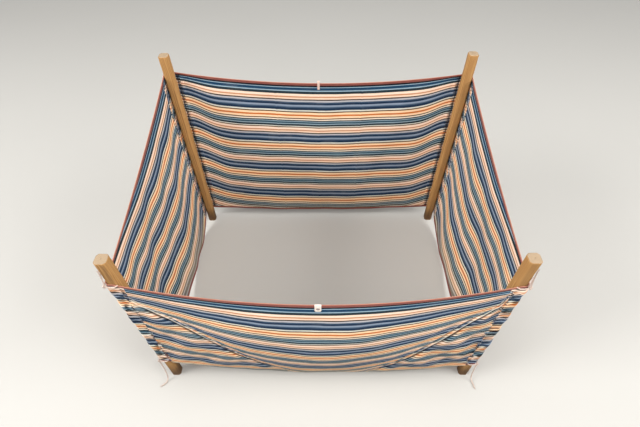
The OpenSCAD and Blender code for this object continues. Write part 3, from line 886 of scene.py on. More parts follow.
def make_mesh(name, finish, points, faces, uv=None, marks=None):
    """A new object from arrays of points and faces, with distances as its UV map, and vectors by point."""
    mesh = bpy.data.meshes.new(name)
    mesh.from_pydata(np.reshape(points, (-1, 3)).tolist(), [], faces)
    if uv is not None:
        corners = np.zeros(len(mesh.loops), np.int32)
        mesh.loops.foreach_get("vertex_index", corners)
        layer = mesh.uv_layers.new(name="UVMap")
        layer.data.foreach_set("uv", np.asarray(uv, np.float32).reshape(-1, 2)[corners].ravel())
    for key, values in (marks or {}).items():
        layer = mesh.attributes.new(key, "FLOAT_VECTOR", "POINT")
        layer.data.foreach_set("vector", np.asarray(values, np.float32).ravel())
    mesh.polygons.foreach_set("use_smooth", np.full(len(mesh.polygons), True))
    mesh.update()
    mesh.materials.append(material_of(finish))
    return link_new(name, mesh)


def add_piece(name, finish, mesh, nodes=(), marks=None, thickness=0):
    """A piece of the windbreak that rides on its frame and the nodes that it stands for. A
    sheet gets its thickness half on each side."""
    piece = make_mesh(name, finish, *mesh, marks=marks)
    if thickness:
        solid = piece.modifiers.new("Thickness", "SOLIDIFY")
        solid.thickness, solid.offset = thickness, 0
    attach(piece, "root")
    if nodes:
        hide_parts(*nodes)
    return piece


def gather_meshes(parts):
    """Joins lists of points, faces and distances into one."""
    starts = running([len(points) for points, _, _ in parts]).astype(int).tolist()
    faces = [[start + k for k in face] for start, (_, own, _) in zip(starts, parts) for face in own]
    return np.concatenate([part[0] for part in parts]), faces, np.concatenate([part[2] for part in parts])


def grid_mesh(points, uv, **joined):
    """Points, faces and distances of a grid, in lists."""
    return points.reshape(-1, 3), grid_faces(*points.shape[:2], **joined), uv.reshape(-1, 2)


def frames_along(path):
    """Two directions square to a path at each of its points, carried along it without twist."""
    tangent = unit(np.gradient(path, axis=0))
    side = np.zeros_like(path)
    start = np.cross(tangent[0], [0.0, 0.0, 1.0])
    if np.linalg.norm(start) < 0.1:
        start = np.cross(tangent[0], [1.0, -1.0, 0.0])
    side[0] = unit(start)
    for k in range(1, len(path)):
        side[k] = unit(side[k - 1] - tangent[k] * np.dot(side[k - 1], tangent[k]))
    return side, np.cross(tangent, side)


def curve_through(points, step=0.0015):
    """Smooth path through a few points: a Catmull-Rom spline, taken at even steps."""
    p = np.asarray(points, float)
    p = np.concatenate([[2 * p[0] - p[1]], p, [2 * p[-1] - p[-2]]])
    t = np.linspace(0, 1, 24, endpoint=False)[None, :, None]
    a, b, c, d = (p[k : len(p) - 3 + k][:, None, :] for k in range(4))
    square, cube = 2 * a - 5 * b + 4 * c - d, 3 * b - a - 3 * c + d
    curve = 0.5 * (2 * b + (c - a) * t + square * t**2 + cube * t**3)
    curve = np.concatenate([curve.reshape(-1, 3), p[-2:-1]])
    far = distances_along(curve)
    return at_distances(np.linspace(0, far[-1], max(3, int(round(far[-1] / step)) + 1)), far, curve)


def cord_surface(path, diameter, sides=18, strands=3, lay=3.4):
    """Twisted cord along a path: a round section with one lobe a strand, which turns once in lay
    diameters. Its ends are drawn in to a blunt tip."""
    side, rise = frames_along(path)
    far = distances_along(path)
    angle = np.arange(sides) / sides * TURN
    twist = far[:, None] / (lay * diameter) * TURN
    lobes = 0.86 + 0.14 * np.abs(np.cos((angle - twist) * strands / 2)) ** 0.7
    tip = np.minimum(np.minimum(far, far[-1] - far) / (0.5 * diameter), 1.0)
    radius = diameter / 2 * lobes * np.sqrt(np.clip(1 - (1 - tip[:, None]) ** 2, 0.02, 1))
    ring = side[:, None] * np.cos(angle)[:, None] + rise[:, None] * np.sin(angle)[:, None]
    uv = grid(far[:, None], angle / TURN)
    points, faces, uv = grid_mesh(path[:, None] + ring * radius[..., None], uv, wrap_rows=True)
    last = (len(path) - 1) * sides
    caps = [list(range(sides)), list(range(last, last + sides))[::-1]]
    return points, faces + caps, uv


# Kinds of stitch: pitch, length and radius
BINDING_STITCH = (0.0070, 0.0048, 0.00055)
BAND_STITCH = (0.0085, 0.0058, 0.0006)
LACING_STITCH = (0.0170, 0.0175, 0.0017)
MENDED_STITCH = (0.0170, 0.0150, 0.0011)
EYELET_STITCH = (0.00095, 0.0040, 0.00055)
TAPE_STITCH = (0.0034, 0.0026, 0.00045)
# Rings of a stitch: places along it, as shares of its length, and widths and heights, of its radius
STITCH_ALONG = np.array([-0.5, -0.36, -0.12, 0.12, 0.36, 0.5])
STITCH_WIDTH = np.array([0.25, 0.85, 1.0, 1.0, 0.85, 0.25])
STITCH_RISE = np.array([-0.9, -0.1, 0.25, 0.25, -0.1, -0.9])
STITCH_SIDES = 6


def stitch_run(path, normals, kind, lift=0.0, slant=0.0):
    """Stitches along a path: short capsules that lie on the cloth, one a pitch, sunk at both ends. The
    list holds one mesh, or none where the path is too short."""
    pitch, size, radius = kind
    far = distances_along(path)
    at = np.arange(pitch / 2, far[-1] - pitch / 2, pitch)
    if len(at) == 0:
        return []
    centre, ahead = at_distances(at, far, path), at_distances(at + 0.001, far, path)
    normal = unit(at_distances(at, far, normals))
    along = unit(ahead - centre)
    direction = unit(along * math.cos(slant) + unit(np.cross(normal, along)) * math.sin(slant))
    side = np.cross(normal, direction)
    angle = np.arange(STITCH_SIDES)[:, None] / STITCH_SIDES * TURN
    # The axes of these arrays are the stitches, the rings of one, the points round a ring, and x, y and z
    centre, normal, direction, side = (part[:, None, None] for part in (centre, normal, direction, side))
    rings, width, rise = (part[:, None, None] for part in (STITCH_ALONG * size, STITCH_WIDTH, STITCH_RISE))
    points = centre + direction * rings + normal * (lift + rise * radius)
    points = points + (side * np.cos(angle) + normal * np.sin(angle)) * (width * radius)
    rows, each = len(STITCH_ALONG), len(STITCH_ALONG) * STITCH_SIDES
    offsets = (np.arange(len(at)) * each)[:, None, None]
    one = np.array(grid_faces(rows, STITCH_SIDES, wrap_rows=True, flip=True))
    ends = np.arange(STITCH_SIDES)
    caps = np.concatenate([ends + offsets[:, 0], each - 1 - ends + offsets[:, 0]])
    u, v = np.broadcast_arrays(rings[..., 0] + at[:, None, None], angle[:, 0] / TURN)
    faces = (one + offsets).reshape(-1, 4).tolist() + caps.tolist()
    return [(points.reshape(-1, 3), faces, grid(u, v).reshape(-1, 2))]


def add_thread(name, finish, runs):
    """Runs of stitches as one piece."""
    add_piece(name, finish, gather_meshes(runs))


def make_cloth(kind, i, *nodes):
    """The cloth of side i or the wrap of post i with its thickness. Its flat area is the sum of its columns
    before it was hung."""
    points, uv = cloth_of(kind, i)
    # Painted shade, deepest in the hollows of the cloth: the front wraps get more of it and a little all
    # over, and the back wraps also the painted shade of their post
    deep = hollows(points)
    if kind == "wrap":
        deep = np.maximum(deep, painted_post_shade(i, uv)) if i in BACK_CORNERS else np.minimum(1.7 * deep + 0.12, 1)
    marks = {"hollow_shade": grid(deep, deep, deep)}
    if (kind, i) == ("side", FRONT):
        marks["crease"] = crease_marks(uv[..., 0], uv[..., 1])
    name, held_by = CORNERS[i] + "_wrap", (i,)
    if kind == "side":
        name, held_by = SIDES[i] + "_cloth", (i, (i + 1) % 4)
    cloth, thickness = grid_mesh(points, uv), cloth_sizes().thickness
    piece = add_piece(name, "striped_canvas", cloth, nodes, marks, thickness)
    x, depths = uv[:, 0, 0], uv[:, -1, 1] - uv[:, 0, 1]
    width, depth = float(x[-1] - x[0]), float(depths.max())
    area = min(float(np.sum((depths[1:] + depths[:-1]) / 2 * np.diff(x))), width * depth)
    posts = [CORNERS[k] + "_post" for k in held_by]


# Tape of a binding: its thickness, then how much its fold puffs out and how far it stands past the edge, as
# shares of the tape's distance from the middle of the cloth
TAPE_THICKNESS, FOLD_PUFF, FOLD_REACH = 0.0008, 0.35, 1.5


def binding_surface(edge, normals, distance):
    """Tape folded over an edge: up the outside, round the edge in a puffed half turn and down the inside.
    edge holds rows of points from the edge inward."""
    turns = np.linspace(0, math.pi, 7)[1:-1, None, None]
    beyond = unit(edge[:, 0] - edge[:, 2])
    nose = normals[:, 0] * np.cos(turns) * (1 + FOLD_PUFF * np.sin(turns))
    nose = nose + beyond * np.sin(turns) * FOLD_REACH
    outer, inner = edge + normals * distance, edge - normals * distance
    return np.concatenate([outer[:, ::-1], (edge[:, 0] + nose * distance).swapaxes(0, 1), inner], axis=1)


def make_binding(name, kind, i, ends, node):
    """Folded tape along edges of the cloth, with a row of stitches on each face in a piece of its own."""
    points, _ = cloth_of(kind, i)
    distance = cloth_sizes().thickness / 2 + TAPE_THICKNESS
    surfaces, threads = [], []
    for end in ends:
        rows = slice(BOUND_ROWS + 1) if end == "top" else slice(None, -BOUND_ROWS - 2, -1)
        edge, normals = points[:, rows], grid_normals(points)[:, rows]
        surface = binding_surface(edge, normals, distance)
        far = distances_along(edge[:, 0])
        flutter = 0.0004 * np.sin(TURN * far / 0.047) + 0.0003 * np.sin(TURN * far / 0.019 + 1)
        surface[:, 0] += normals[:, -1] * np.abs(flutter)[:, None]
        surface[:, -1] -= normals[:, -1] * np.abs(flutter)[:, None]
        across = np.linspace(-0.022, 0.022, surface.shape[1])
        surfaces.append(grid_mesh(surface, grid(far[:, None], across), flip=end == "top"))
        for away in (normals[:, 3], -normals[:, 3]):
            line = edge[:, 3] * 0.8 + edge[:, 4] * 0.2 + away * (distance + 0.0005)
            threads += stitch_run(line, away, BINDING_STITCH)
    add_piece(name, "edge_tape", gather_meshes(surfaces), [node], thickness=TAPE_THICKNESS)
    add_thread(name + "_stitching", "rust_thread", threads)


# Section of the raised band over a seam: distances across it, and heights above the middle of the cloth,
# then the two rows of stitches on it, and the heights of these, of the lacing and of the mended lacing
BAND_ACROSS = np.array([-0.0070, -0.0068, -0.0045, 0.0, 0.0045, 0.0068, 0.0070])[:, None]
BAND_RISE = np.array([0.0006, 0.0013, 0.0016, 0.0014, 0.0016, 0.0013, 0.0006])[:, None]
BAND_ROWS = (-0.0048, 0.0048)
SEWING_RISE, LACING_RISE, MENDED_RISE = 0.0017, 0.0022, 0.0026


def make_seams(i):
    """The two seams beside post i: a raised band of the same cloth over each join, on both faces, with a
    row of stitches at each side of it and lacing across it, whose dark thread is partly painted shade of
    the post. At a back post the lacing runs close to the post instead, and on the back the band has no
    stitches. On the left the lower third is laced again in another thread."""
    points, uv = cloth_of("wrap", i)
    unbound = slice(BOUND_ROWS, -BOUND_ROWS)
    points, normals, q = points[:, unbound], grid_normals(points)[:, unbound], uv[:, unbound, 1]
    low = len(q[0]) * 2 // 3
    bands, sewing, lacing, mended = [], [], [], []
    for column, inward, side in ((0, 1, (i - 1) % 4), (-1, -1, i)):
        line, laced = points[column], column + (5 * inward if i in BACK_CORNERS else 0)
        across = unit(line - points[column + 3 * inward])
        for face in (1, -1):
            away, laced_away = face * normals[column], face * normals[laced]
            band = line[:, None] + across[:, None] * BAND_ACROSS + away[:, None] * BAND_RISE
            flat = grid(BAND_ACROSS[:, 0] + 0.4, q[column][:, None])
            bands.append(grid_mesh(band, flat, flip=(face > 0) == (inward > 0)))
            for shift in BAND_ROWS if side != BACK else ():
                sewing += stitch_run(line + across * shift + away * SEWING_RISE, away, BAND_STITCH)
            row = points[laced] + laced_away * LACING_RISE
            lacing += stitch_run(row, laced_away, LACING_STITCH, slant=1.25 * face)
            if i in (FRONT, LEFT):
                row = (line + away * MENDED_RISE)[low:]
                mended += stitch_run(row, away[low:], MENDED_STITCH, slant=0.9 * face)
    name = CORNERS[i]
    add_piece(name + "_seams", "striped_canvas", gather_meshes(bands), thickness=0.0010)
    add_thread(name + "_seam_stitching", "tie_cord", sewing)
    # The lacing is dark thread, partly painted shade of the post beside the seam
    add_thread(name + "_lacing", "dark_thread", lacing)
    if mended:
        add_thread(name + "_mended_lacing", "rust_thread", mended)


def edge_line(i):
    """At the middle of side i's top edge: a function that gives the cloth's point at a distance below the
    edge, or straight above it, and the directions outward and along."""
    points, uv = cloth_of("side", i)
    k = len(points) // 2
    line, q = points[k], uv[k, :, 1]
    up = unit(line[0] - line[4])

    def point_at(d):
        """The cloth's point at a distance below the edge."""
        return at_distances(d, q, line) + up * np.asarray(np.clip(-d, 0, None))[..., None]

    return point_at, grid_normals(points)[k, 4], unit(points[k + 1, 0] - points[k - 1, 0])


# Distance of a folded tape from the middle of the cloth, where it lies over the binding and on the cloth
OVER_BINDING, ON_CLOTH = 0.0030, 0.0017


def off_cloth(d):
    """Distance of a tape from the middle of the cloth: over the binding, then down onto the cloth."""
    return mix(OVER_BINDING, ON_CLOTH, smooth(d, 0.0135, 0.0200))


def folded_tape(i, width, hang, rise, corner, outside_from):
    """Tape over the edge with round lower corners: up the outside from a distance below the edge, round in
    a half turn above it, and down the inside."""
    point_at, outward, along = edge_line(i)
    up = np.linspace(outside_from, -rise, 14)
    down = np.linspace(-rise, hang, 22)
    turn = np.linspace(0, math.pi, 9)[1:-1]
    d = np.concatenate([up, -rise - OVER_BINDING * np.sin(turn), down])
    off = np.concatenate([off_cloth(up), OVER_BINDING * np.cos(turn), -off_cloth(down)])
    past = np.clip(d - (hang - corner), 0, corner)
    half = width / 2 - corner + np.sqrt(np.clip(corner**2 - past**2, 0, None))
    across = np.linspace(-1, 1, 9)[:, None] * half
    points = point_at(d) + outward * off[:, None] + along * across[..., None]
    return grid_mesh(points, grid(distances_along(np.stack([d, off], -1)), across))


def tab_face(i, width, hang, corner, hole, eye):
    """Outer face of a tab with round lower corners, on rays from the hole of its eyelet to its outline."""
    point_at, outward, along = edge_line(i)
    angle = np.arange(72)[:, None] / 72 * TURN
    c, s = np.cos(angle), np.sin(angle)
    to_side = width / 2 / np.maximum(np.abs(c), 1e-6)
    reach = np.minimum(to_side, np.where(s < 0, eye, hang - eye) / np.maximum(np.abs(s), 1e-6))
    a, d = c * reach, eye + s * reach
    # Corners of the lower end drawn in to an arc
    ca, cd = np.sign(a) * (width / 2 - corner), hang - corner
    pull = corner / np.maximum(np.hypot(a - ca, d - cd), 1e-9)
    round_off = (np.abs(a) > width / 2 - corner) & (d > hang - corner)
    a, d = np.where(round_off, ca + (a - ca) * pull, a), np.where(round_off, cd + (d - cd) * pull, d)
    share = np.linspace(0, 1, 9)
    a, d = mix(c * hole, a, share), mix(eye + s * hole, d, share)
    points = point_at(d) + outward * off_cloth(d)[..., None] + along * a[..., None]
    return grid_mesh(points, grid(d, a), wrap_columns=True, flip=True)


def worked_eyelet(i, eye, radius):
    """Close threads round the hole of the tab, on a ring about a point below the edge."""
    point_at, outward, along = edge_line(i)
    turn = np.linspace(0, TURN, 73)[:, None]
    down = unit(point_at(eye + 0.004) - point_at(eye))
    ring = point_at(eye) + outward * (off_cloth(eye) + 0.0006)
    ring = ring + (along * np.cos(turn) + down * np.sin(turn)) * radius
    normals = np.broadcast_to(outward, ring.shape)
    return stitch_run(ring, normals, EYELET_STITCH, 0.0002, QUARTER)


def sewn_across(i, width, low):
    """A row of stitches across a tape, at a distance below the edge."""
    point_at, outward, along = edge_line(i)
    across = np.linspace(-0.44, 0.44, 20)[:, None] * width
    line = point_at(low) + outward * (off_cloth(low) + 0.0007) + along * across
    return stitch_run(line, np.broadcast_to(outward, line.shape), TAPE_STITCH)


# Rings of a post below its bevel, and the bevel round its top: distances below the top and inward
POST_RINGS = 90
BEVEL_DOWN = np.array([0.0025, 0.0012, 0.0004, 0.0])
BEVEL_IN = np.array([0.0003, 0.0010, 0.0020, 0.0034])


def post_outline():
    """Square with chamfers whose corners are rounded, in plan about a post's centre."""
    half = POST_W / 2
    pair = np.array([[half, -FLAT_HALF], [half, FLAT_HALF]])
    turns = [np.array([[c, s], [-s, c]]) for c, s in ((1, 0), (0, 1), (-1, 0), (0, -1))]
    corners = np.concatenate([pair @ turn for turn in turns])
    outline, cut = [], 0.0028
    for before, here, after in zip(np.roll(corners, 1, 0), corners, np.roll(corners, -1, 0)):
        a, b = unit(before - here), unit(after - here)
        outline += [here + a * cut * (1 - share) ** 2 + b * cut * share**2 for share in (0.0, 0.5, 1.0)]
        outline += [here + b * np.linalg.norm(after - here) * share for share in (0.3, 0.5, 0.7)]
    return np.array(outline)


def post_surface(i):
    """Post as rings up its height, a little uneven from the saw, with a worn bevel and rings across its
    top, and marks for its finish: the place in the timber it was sawn from, and what faces up."""
    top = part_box(CORNERS[i] + "_post")[1].z
    outline, half, seed = post_outline(), POST_W / 2, 1.7 * i
    heights = np.concatenate([np.linspace(0, top - 0.004, POST_RINGS), top - BEVEL_DOWN])[:, None]
    inset = np.concatenate([np.zeros(POST_RINGS), BEVEL_IN])[:, None]
    angle = np.arctan2(outline[:, 1], outline[:, 0])
    uneven = 0.00022 * np.sin(heights * 61 + 3 * angle + seed)
    uneven = uneven + 0.00018 * np.sin(heights * 143 + 5 * angle - seed)
    # The unevenness stays inside the sawn size
    grown = 1 - inset / half - (uneven + 0.0004) / half
    across = np.array([0.85, 0.7, 0.55, 0.4, 0.25, 0.02])[:, None]
    grown = np.concatenate([grown, grown[-1] * across])
    heights = np.concatenate([heights, top - 0.0006 * (1 - across) ** 2])
    local = grid(outline[:, 0] * grown, outline[:, 1] * grown, heights)
    rings, n = local.shape[:2]
    faces = grid_faces(rings, n, wrap_rows=True, flip=True)
    faces += [list(range(n))[::-1], list(range((rings - 1) * n, rings * n))]
    local = local.reshape(-1, 3)
    facing = local * 0 + (local[:, 2:] > top - 0.0018) * np.array([0.0, 0.0, 1.0])
    sawn_from = local + np.array([0.013 * ((i * 7) % 5 - 2), 0.011 * ((i * 3) % 4 - 1.5), 0.0])
    points = place(i, local[:, 0], -local[:, 1], local[:, 2])
    return (points, faces), {"place": sawn_from, "facing": facing}


# A binding's outer face off the post, the room that a cord keeps, a tie's distance from the cloth's edge,
# and the short end below a foot knot
BINDING_OUT, ROOM, TIE_INSET, STUB = 0.0058, 0.0003, 0.007, 0.003
# Thickness of a cord that is tied tight, as a share of a loose one's
PULLED_TIGHT = 0.86


def off_chamfer(i, out, sideways, height):
    """Point at a distance out from the chamfer of corner i, moved sideways along it."""
    s = math.sin(math.pi / 4)
    reach = (POST_W - CHAMFER) * s + np.asarray(out, float)
    return place(i, -reach * s + sideways * s, reach * s + sideways * s, height)


def knot_line():
    """Distance from the chamfer to the middle of a knot."""
    return BINDING_OUT + ROOM + cord_sizes().knot / 2


def knot_loops(i, z, cord):
    """Two turns of a knot, each a tilted loop of cord round the band."""
    t = np.linspace(0, TURN, 40)
    r = (cord_sizes().knot - cord) / 2
    for tilt, lift in ((0.5, 0.0022), (-0.55, -0.0022)):
        out = knot_line() + r * np.cos(t) * 0.85
        up = z + lift + r * np.sin(t) * 0.95 + tilt * r * np.cos(t) * 0.35
        yield off_chamfer(i, out, tilt * r * np.sin(t) * 0.8 + 0.0012 * np.cos(2 * t), up)


def tie_band(i, z, cord):
    """Path of a band round the outside of corner i, which goes in through the cloth at both ends."""
    face = POST_W / 2 + BINDING_OUT + ROOM + cord / 2
    edge = FLAT_HALF + (face - POST_W / 2) * MITRE
    half = np.array([
        (FLAT_HALF + 0.004, face - 0.0085), (FLAT_HALF + 0.001, face - 0.004),
        (FLAT_HALF - 0.004, face - 0.0005), (FLAT_HALF * 0.4, face),
        (-edge * 0.6, face), (-edge - 0.002, face - 0.0015),
    ])
    along, out = np.concatenate([half, -half[::-1, ::-1]]).T
    return place(i, along, out, z + 0.0012 * np.sin(np.arange(len(along)) * 1.3 + i))


def tie_parts(i, kind):
    """Cord of one tie: a band, a knot of two loops, and two tails up the post, or a stub at the foot."""
    p = cord_sizes()
    d, line = p.thickness * PULLED_TIGHT, knot_line()
    z = TOPS[i] - TIE_INSET if kind == "top" else BOTTOMS[i] + TIE_INSET
    parts = [cord_surface(curve_through(tie_band(i, z, d)), d)]
    parts += [cord_surface(curve_through(loop[:-2], 0.0012), d, sides=14) for loop in knot_loops(i, z, d)]
    if kind == "foot":
        k = np.linspace(0, 1, 4)
        stub = off_chamfer(i, line, 0.0, z - (p.knot / 2 + STUB) * k)
        return parts + [cord_surface(curve_through(stub), d)]
    rest, k = ROOM + d / 2, np.linspace(0, 1, 7)
    for sign, reach in ((1, p.long_tail), (-1, p.short_tail)):
        out = np.interp(k, [0, 0.18, 0.45, 1], [line, line * 0.75, rest + 0.004, rest])
        side = sign * np.interp(k, [0, 0.3, 1], [0.002, 0.006, p.spread / 2]) + 0.002 * np.sin(7 * k) * k
        tail = off_chamfer(i, out, side, z + reach * k)
        parts.append(cord_surface(curve_through(tail), d))
        parts += frayed_end(tail[-1], tail[-1] - tail[-2], d, i + sign)
    return parts


def frayed_end(tip, direction, diameter, seed, count=9, size=0.011):
    """Loose yarns at a cut end of cord, which open out like a brush."""
    rng = np.random.default_rng(20 + seed)
    direction = unit(direction)
    side = unit(np.cross(direction, [0.3, 0.5, 0.8]))
    rise = np.cross(direction, side)
    for _ in range(count):
        a, spread, far = rng.uniform(0, TURN), rng.uniform(0.1, 0.55), size * rng.uniform(0.6, 1.0)
        lean = side * math.cos(a) + rise * math.sin(a)
        start = tip - direction * 0.002 + lean * diameter * 0.2
        steps = ((0, 0), (0.5, 0.3), (1, 1))
        points = [start + direction * far * ahead + lean * far * spread * apart for ahead, apart in steps]
        yield cord_surface(curve_through(points, 0.0022), 0.0011, sides=6, strands=1)


# Routes of the loose tails, from the CAD: outward, sideways and down from the stub, then above the ground
TAILS = {
    FRONT: (
        ((0, 0, -20), (2, 2, -60), (4, 3, -100)),
        ((12, 6, 26), (20, 10, 10), (36, 16, 4), (60, 14, 4)),
    ),
    RIGHT: (
        ((1, -1, -20), (3, -3, -50), (5, -4, -80)),
        ((10, -6, 26), (18, -12, 10), (32, -20, 4), (52, -34, 4)),
    ),
}


def tail_path(i):
    """Centre line of a loose tail in the frame, as the CAD lays it."""
    p = cord_sizes()
    z = BOTTOMS[i] + TIE_INSET - p.knot / 2 - STUB
    upper, lower = (np.array(part, float) / 1000 for part in TAILS[i])
    upper = upper + np.array([0.0, 0.0, z])
    upper = upper[upper[:, 2] > lower[0, 2] + 2 * p.thickness]
    out, side, height = np.concatenate([[[0.0, 0.0, z]], upper, lower]).T
    return curve_through(off_chamfer(i, knot_line() + out, side, height), 0.0020)


def stand_at(thing, right, up, back, spot):
    """Puts a camera or a lamp, which look along their own -Z, at a spot."""
    thing.matrix_world = Matrix([*np.stack([right, up, back, spot], 1).tolist(), [0.0, 0.0, 0.0, 1.0]])


class WINDBREAK_OT_camera(bpy.types.Operator):
    """Put the camera at the photograph's viewing angle"""

    bl_idname = "windbreak.camera"
    bl_label = "Camera"

    def execute(self, context):
        # A pose found from the four posts, with the focal length in pixels of a picture 640 wide
        spot, angles, focal, picture_width = (0.770, -0.834, 2.177), (-0.57, 48.25, 0.60), 413.2, 640
        yaw, pitch, roll = (math.radians(a) for a in angles)
        ahead = np.array([math.sin(yaw), math.cos(yaw), 0.0])
        forward = ahead * math.cos(pitch) + np.array([0.0, 0.0, -math.sin(pitch)])
        level = np.array([math.cos(yaw), -math.sin(yaw), 0.0])
        down = np.cross(forward, level)
        c, s = math.cos(roll), math.sin(roll)
        right, down = level * c + down * s, down * c - level * s
        data = bpy.data.cameras.new("photo_camera")
        data.sensor_width = 36.0
        data.lens = focal / picture_width * data.sensor_width
        camera = link_new("photo_camera", data)
        stand_at(camera, right, -down, -forward, spot)
        context.scene.camera = camera
        return {"FINISHED"}


class WINDBREAK_OT_loose_tails(bpy.types.Operator):
    """Hang the loose ends of the two front foot ties"""

    bl_idname = "windbreak.loose_tails"
    bl_label = "Loose Tails"

    def execute(self, context):
        d = cord_sizes().thickness
        for i in TAILS:
            path, name = tail_path(i), CORNERS[i] + "_loose_tail"
            tail = cord_surface(path, d, sides=20)
            piece = add_piece(name, "tie_cord", tail, [CORNERS[i] + "_tie_tail"])
            fray = gather_meshes(list(frayed_end(path[-1], path[-1] - path[-3], d, i + 7)))
            brush = add_piece(name + "_fray", "tie_cord", fray)
            whole = float(distances_along(path)[-1])
        return {"FINISHED"}


class WINDBREAK_OT_posts(bpy.types.Operator):
    """Build the four timber posts"""

    bl_idname = "windbreak.posts"
    bl_label = "Posts"

    def execute(self, context):
        for i, name in enumerate(CORNERS):
            mesh, marks = post_surface(i)
            add_piece(name + "_timber", "weathered_pine", mesh, [name + "_post"], marks)
        return {"FINISHED"}


class WINDBREAK_OT_front_cloth(bpy.types.Operator):
    """Hang the front cloth with its creases and turn its foot in"""

    bl_idname = "windbreak.front_cloth"
    bl_label = "Front Cloth"

    def execute(self, context):
        cloth_of.cache_clear()
        make_cloth("side", FRONT, "front_canvas", "front_turned_hem")
        return {"FINISHED"}


class WINDBREAK_OT_other_cloths(bpy.types.Operator):
    """Hang the cloths of the two sides and the back"""

    bl_idname = "windbreak.other_cloths"
    bl_label = "Side and Back Cloths"

    def execute(self, context):
        for i in (RIGHT, BACK, LEFT):
            make_cloth("side", i, SIDES[i] + "_canvas")
        return {"FINISHED"}


class WINDBREAK_OT_wraps(bpy.types.Operator):
    """Wrap the cloth round the outside of each post"""

    bl_idname = "windbreak.wraps"
    bl_label = "Corner Wraps"

    def execute(self, context):
        for i, corner in enumerate(CORNERS):
            make_cloth("wrap", i, corner + "_corner")
            make_seams(i)
        return {"FINISHED"}


class WINDBREAK_OT_bindings(bpy.types.Operator):
    """Fold the edge tape over the top and the bottom of the cloth"""

    bl_idname = "windbreak.bindings"
    bl_label = "Edge Bindings"

    def execute(self, context):
        for i, side in enumerate(SIDES):
            for end in ("top", "bottom"):
                make_binding(f"{side}_{end}_edge_tape", "side", i, [end], f"{side}_{end}_binding")
        for i, corner in enumerate(CORNERS):
            make_binding(corner + "_edge_tape", "wrap", i, ["top", "bottom"], corner + "_corner_binding")
        return {"FINISHED"}


class WINDBREAK_OT_ties(bpy.types.Operator):
    """Tie the cloth to each post at the top and at the foot"""

    bl_idname = "windbreak.ties"
    bl_label = "Ties"

    def execute(self, context):
        for i, corner in enumerate(CORNERS):
            for kind in ("top", "foot"):
                tie = gather_meshes(tie_parts(i, kind))
                add_piece(f"{corner}_{kind}_cord", "tie_cord", tie, [f"{corner}_{kind}_tie"])
        return {"FINISHED"}


class WINDBREAK_OT_tab_and_loop(bpy.types.Operator):
    """Sew the eyelet tab over the front edge and the tape loop over the back edge"""

    bl_idname = "windbreak.tab_and_loop"
    bl_label = "Tab and Loop"

    def execute(self, context):
        p = cord_sizes()
        thickness, corner, eye = 0.0010, p.tab_width * 0.30, p.tab_length / 2 + 0.0014
        face = tab_face(FRONT, p.tab_width, p.tab_length, corner, p.eyelet / 2 - 0.0034, eye)
        fold = folded_tape(FRONT, p.tab_width, p.tab_length, 0.0, corner, 0.001)
        tab = gather_meshes([face, fold])
        loop = folded_tape(BACK, p.loop_width, p.loop_length, p.loop_rise, 0.002, p.loop_length)
        add_piece("front_edge_tab", "white_tape", tab, ["front_centre_tab"], thickness=thickness)
        add_piece("back_edge_loop", "pale_tape", loop, ["back_centre_loop"], thickness=thickness)
        add_thread("tab_eyelet", "tan_thread", worked_eyelet(FRONT, eye, p.eyelet / 2 - 0.0018))
        first_row = 0.0155
        rows = [(FRONT, p.tab_width, low) for low in (first_row, p.tab_length - 0.002)]
        rows += [(BACK, p.loop_width, low) for low in (first_row, p.loop_length - 0.003)]
        runs = [run for row in rows for run in sewn_across(*row)]
        add_thread("tab_and_loop_stitching", "tie_cord", runs)
        return {"FINISHED"}


# Soft lamps: name, place, width of the square and power
LAMPS = (
    ("key_softbox", (-5.2, -1.4, 4.6), 3.0, 530.0),
    ("side_softbox", (6.5, -1.4, 4.6), 4.4, 490.0),
    ("fill_softbox", (1.6, -10.0, 7.2), 6.0, 190.0),
    ("top_softbox", (0.75, -0.25, 3.9), 2.0, 80.0),
)


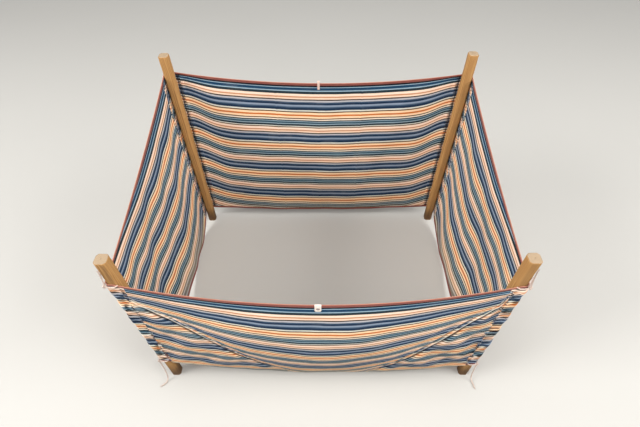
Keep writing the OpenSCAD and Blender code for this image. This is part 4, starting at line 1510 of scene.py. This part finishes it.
class WINDBREAK_OT_stage(bpy.types.Operator):
    """Lay a plain pale floor and set up soft studio light"""

    bl_idname = "windbreak.stage"
    bl_label = "Stage"

    def execute(self, context):
        scene, under = context.scene, -0.0005
        corners = np.array([[-9, -9, under], [11, -9, under], [11, 11, under], [-9, 11, under]])
        make_mesh("studio_floor", "studio_floor", corners, [[0, 1, 2, 3]])
        middle = np.array([0.75, 0.55, 0.45])
        for name, spot, size, power in LAMPS:
            data = bpy.data.lights.new(name, "AREA")
            data.shape, data.size, data.energy = "SQUARE", size, power
            back = unit(np.array(spot) - middle)
            side = unit(np.cross([0.0, 0.0, 1.0], back))
            stand_at(link_new(name, data), side, np.cross(back, side), back, spot)
        scene.world = bpy.data.worlds.new("studio")
        scene.world.use_nodes = True
        sky = scene.world.node_tree.nodes["Background"]
        sky.inputs["Color"].default_value = (0.96, 0.98, 1.0, 1.0)
        sky.inputs["Strength"].default_value = 0.56
        scene.view_settings.view_transform = "Standard"
        return {"FINISHED"}


OPERATORS = (
    WINDBREAK_OT_camera, WINDBREAK_OT_loose_tails, WINDBREAK_OT_posts, WINDBREAK_OT_front_cloth,
    WINDBREAK_OT_other_cloths, WINDBREAK_OT_wraps, WINDBREAK_OT_bindings, WINDBREAK_OT_ties,
    WINDBREAK_OT_tab_and_loop, WINDBREAK_OT_stage,
)
GROUPS = {"windbreak_cloth": ClothSizes, "windbreak_cord": CordSizes, "windbreak_dyes": Dyes}


class WINDBREAK_PT_pieces(bpy.types.Panel):
    """The steps that build the windbreak, and its sizes"""

    bl_label = "Windbreak"
    bl_space_type = "VIEW_3D"
    bl_region_type = "UI"
    bl_category = "Windbreak"

    def draw(self, context):
        for operator in OPERATORS:
            self.layout.operator(operator.bl_idname)
        for key in GROUPS:
            group = getattr(context.scene, key)
            for name in group.bl_rna.properties.keys():
                if name not in ("rna_type", "name"):
                    self.layout.prop(group, name)


CLASSES = (*GROUPS.values(), *OPERATORS, WINDBREAK_PT_pieces)


def register():
    """Registers the classes and gives the scene their groups of sizes and colours."""
    for cls in CLASSES:
        bpy.utils.register_class(cls)
    for key, group in GROUPS.items():
        setattr(bpy.types.Scene, key, bpy.props.PointerProperty(type=group))


def unregister():
    """Takes the groups and the classes away again."""
    for key in GROUPS:
        delattr(bpy.types.Scene, key)
    for cls in reversed(CLASSES):
        bpy.utils.unregister_class(cls)


def main():
    """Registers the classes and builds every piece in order."""
    register()
    for operator in OPERATORS:
        group, name = operator.bl_idname.split(".")
        getattr(getattr(bpy.ops, group), name)()
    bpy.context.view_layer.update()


if __name__ == "__main__":
    main()
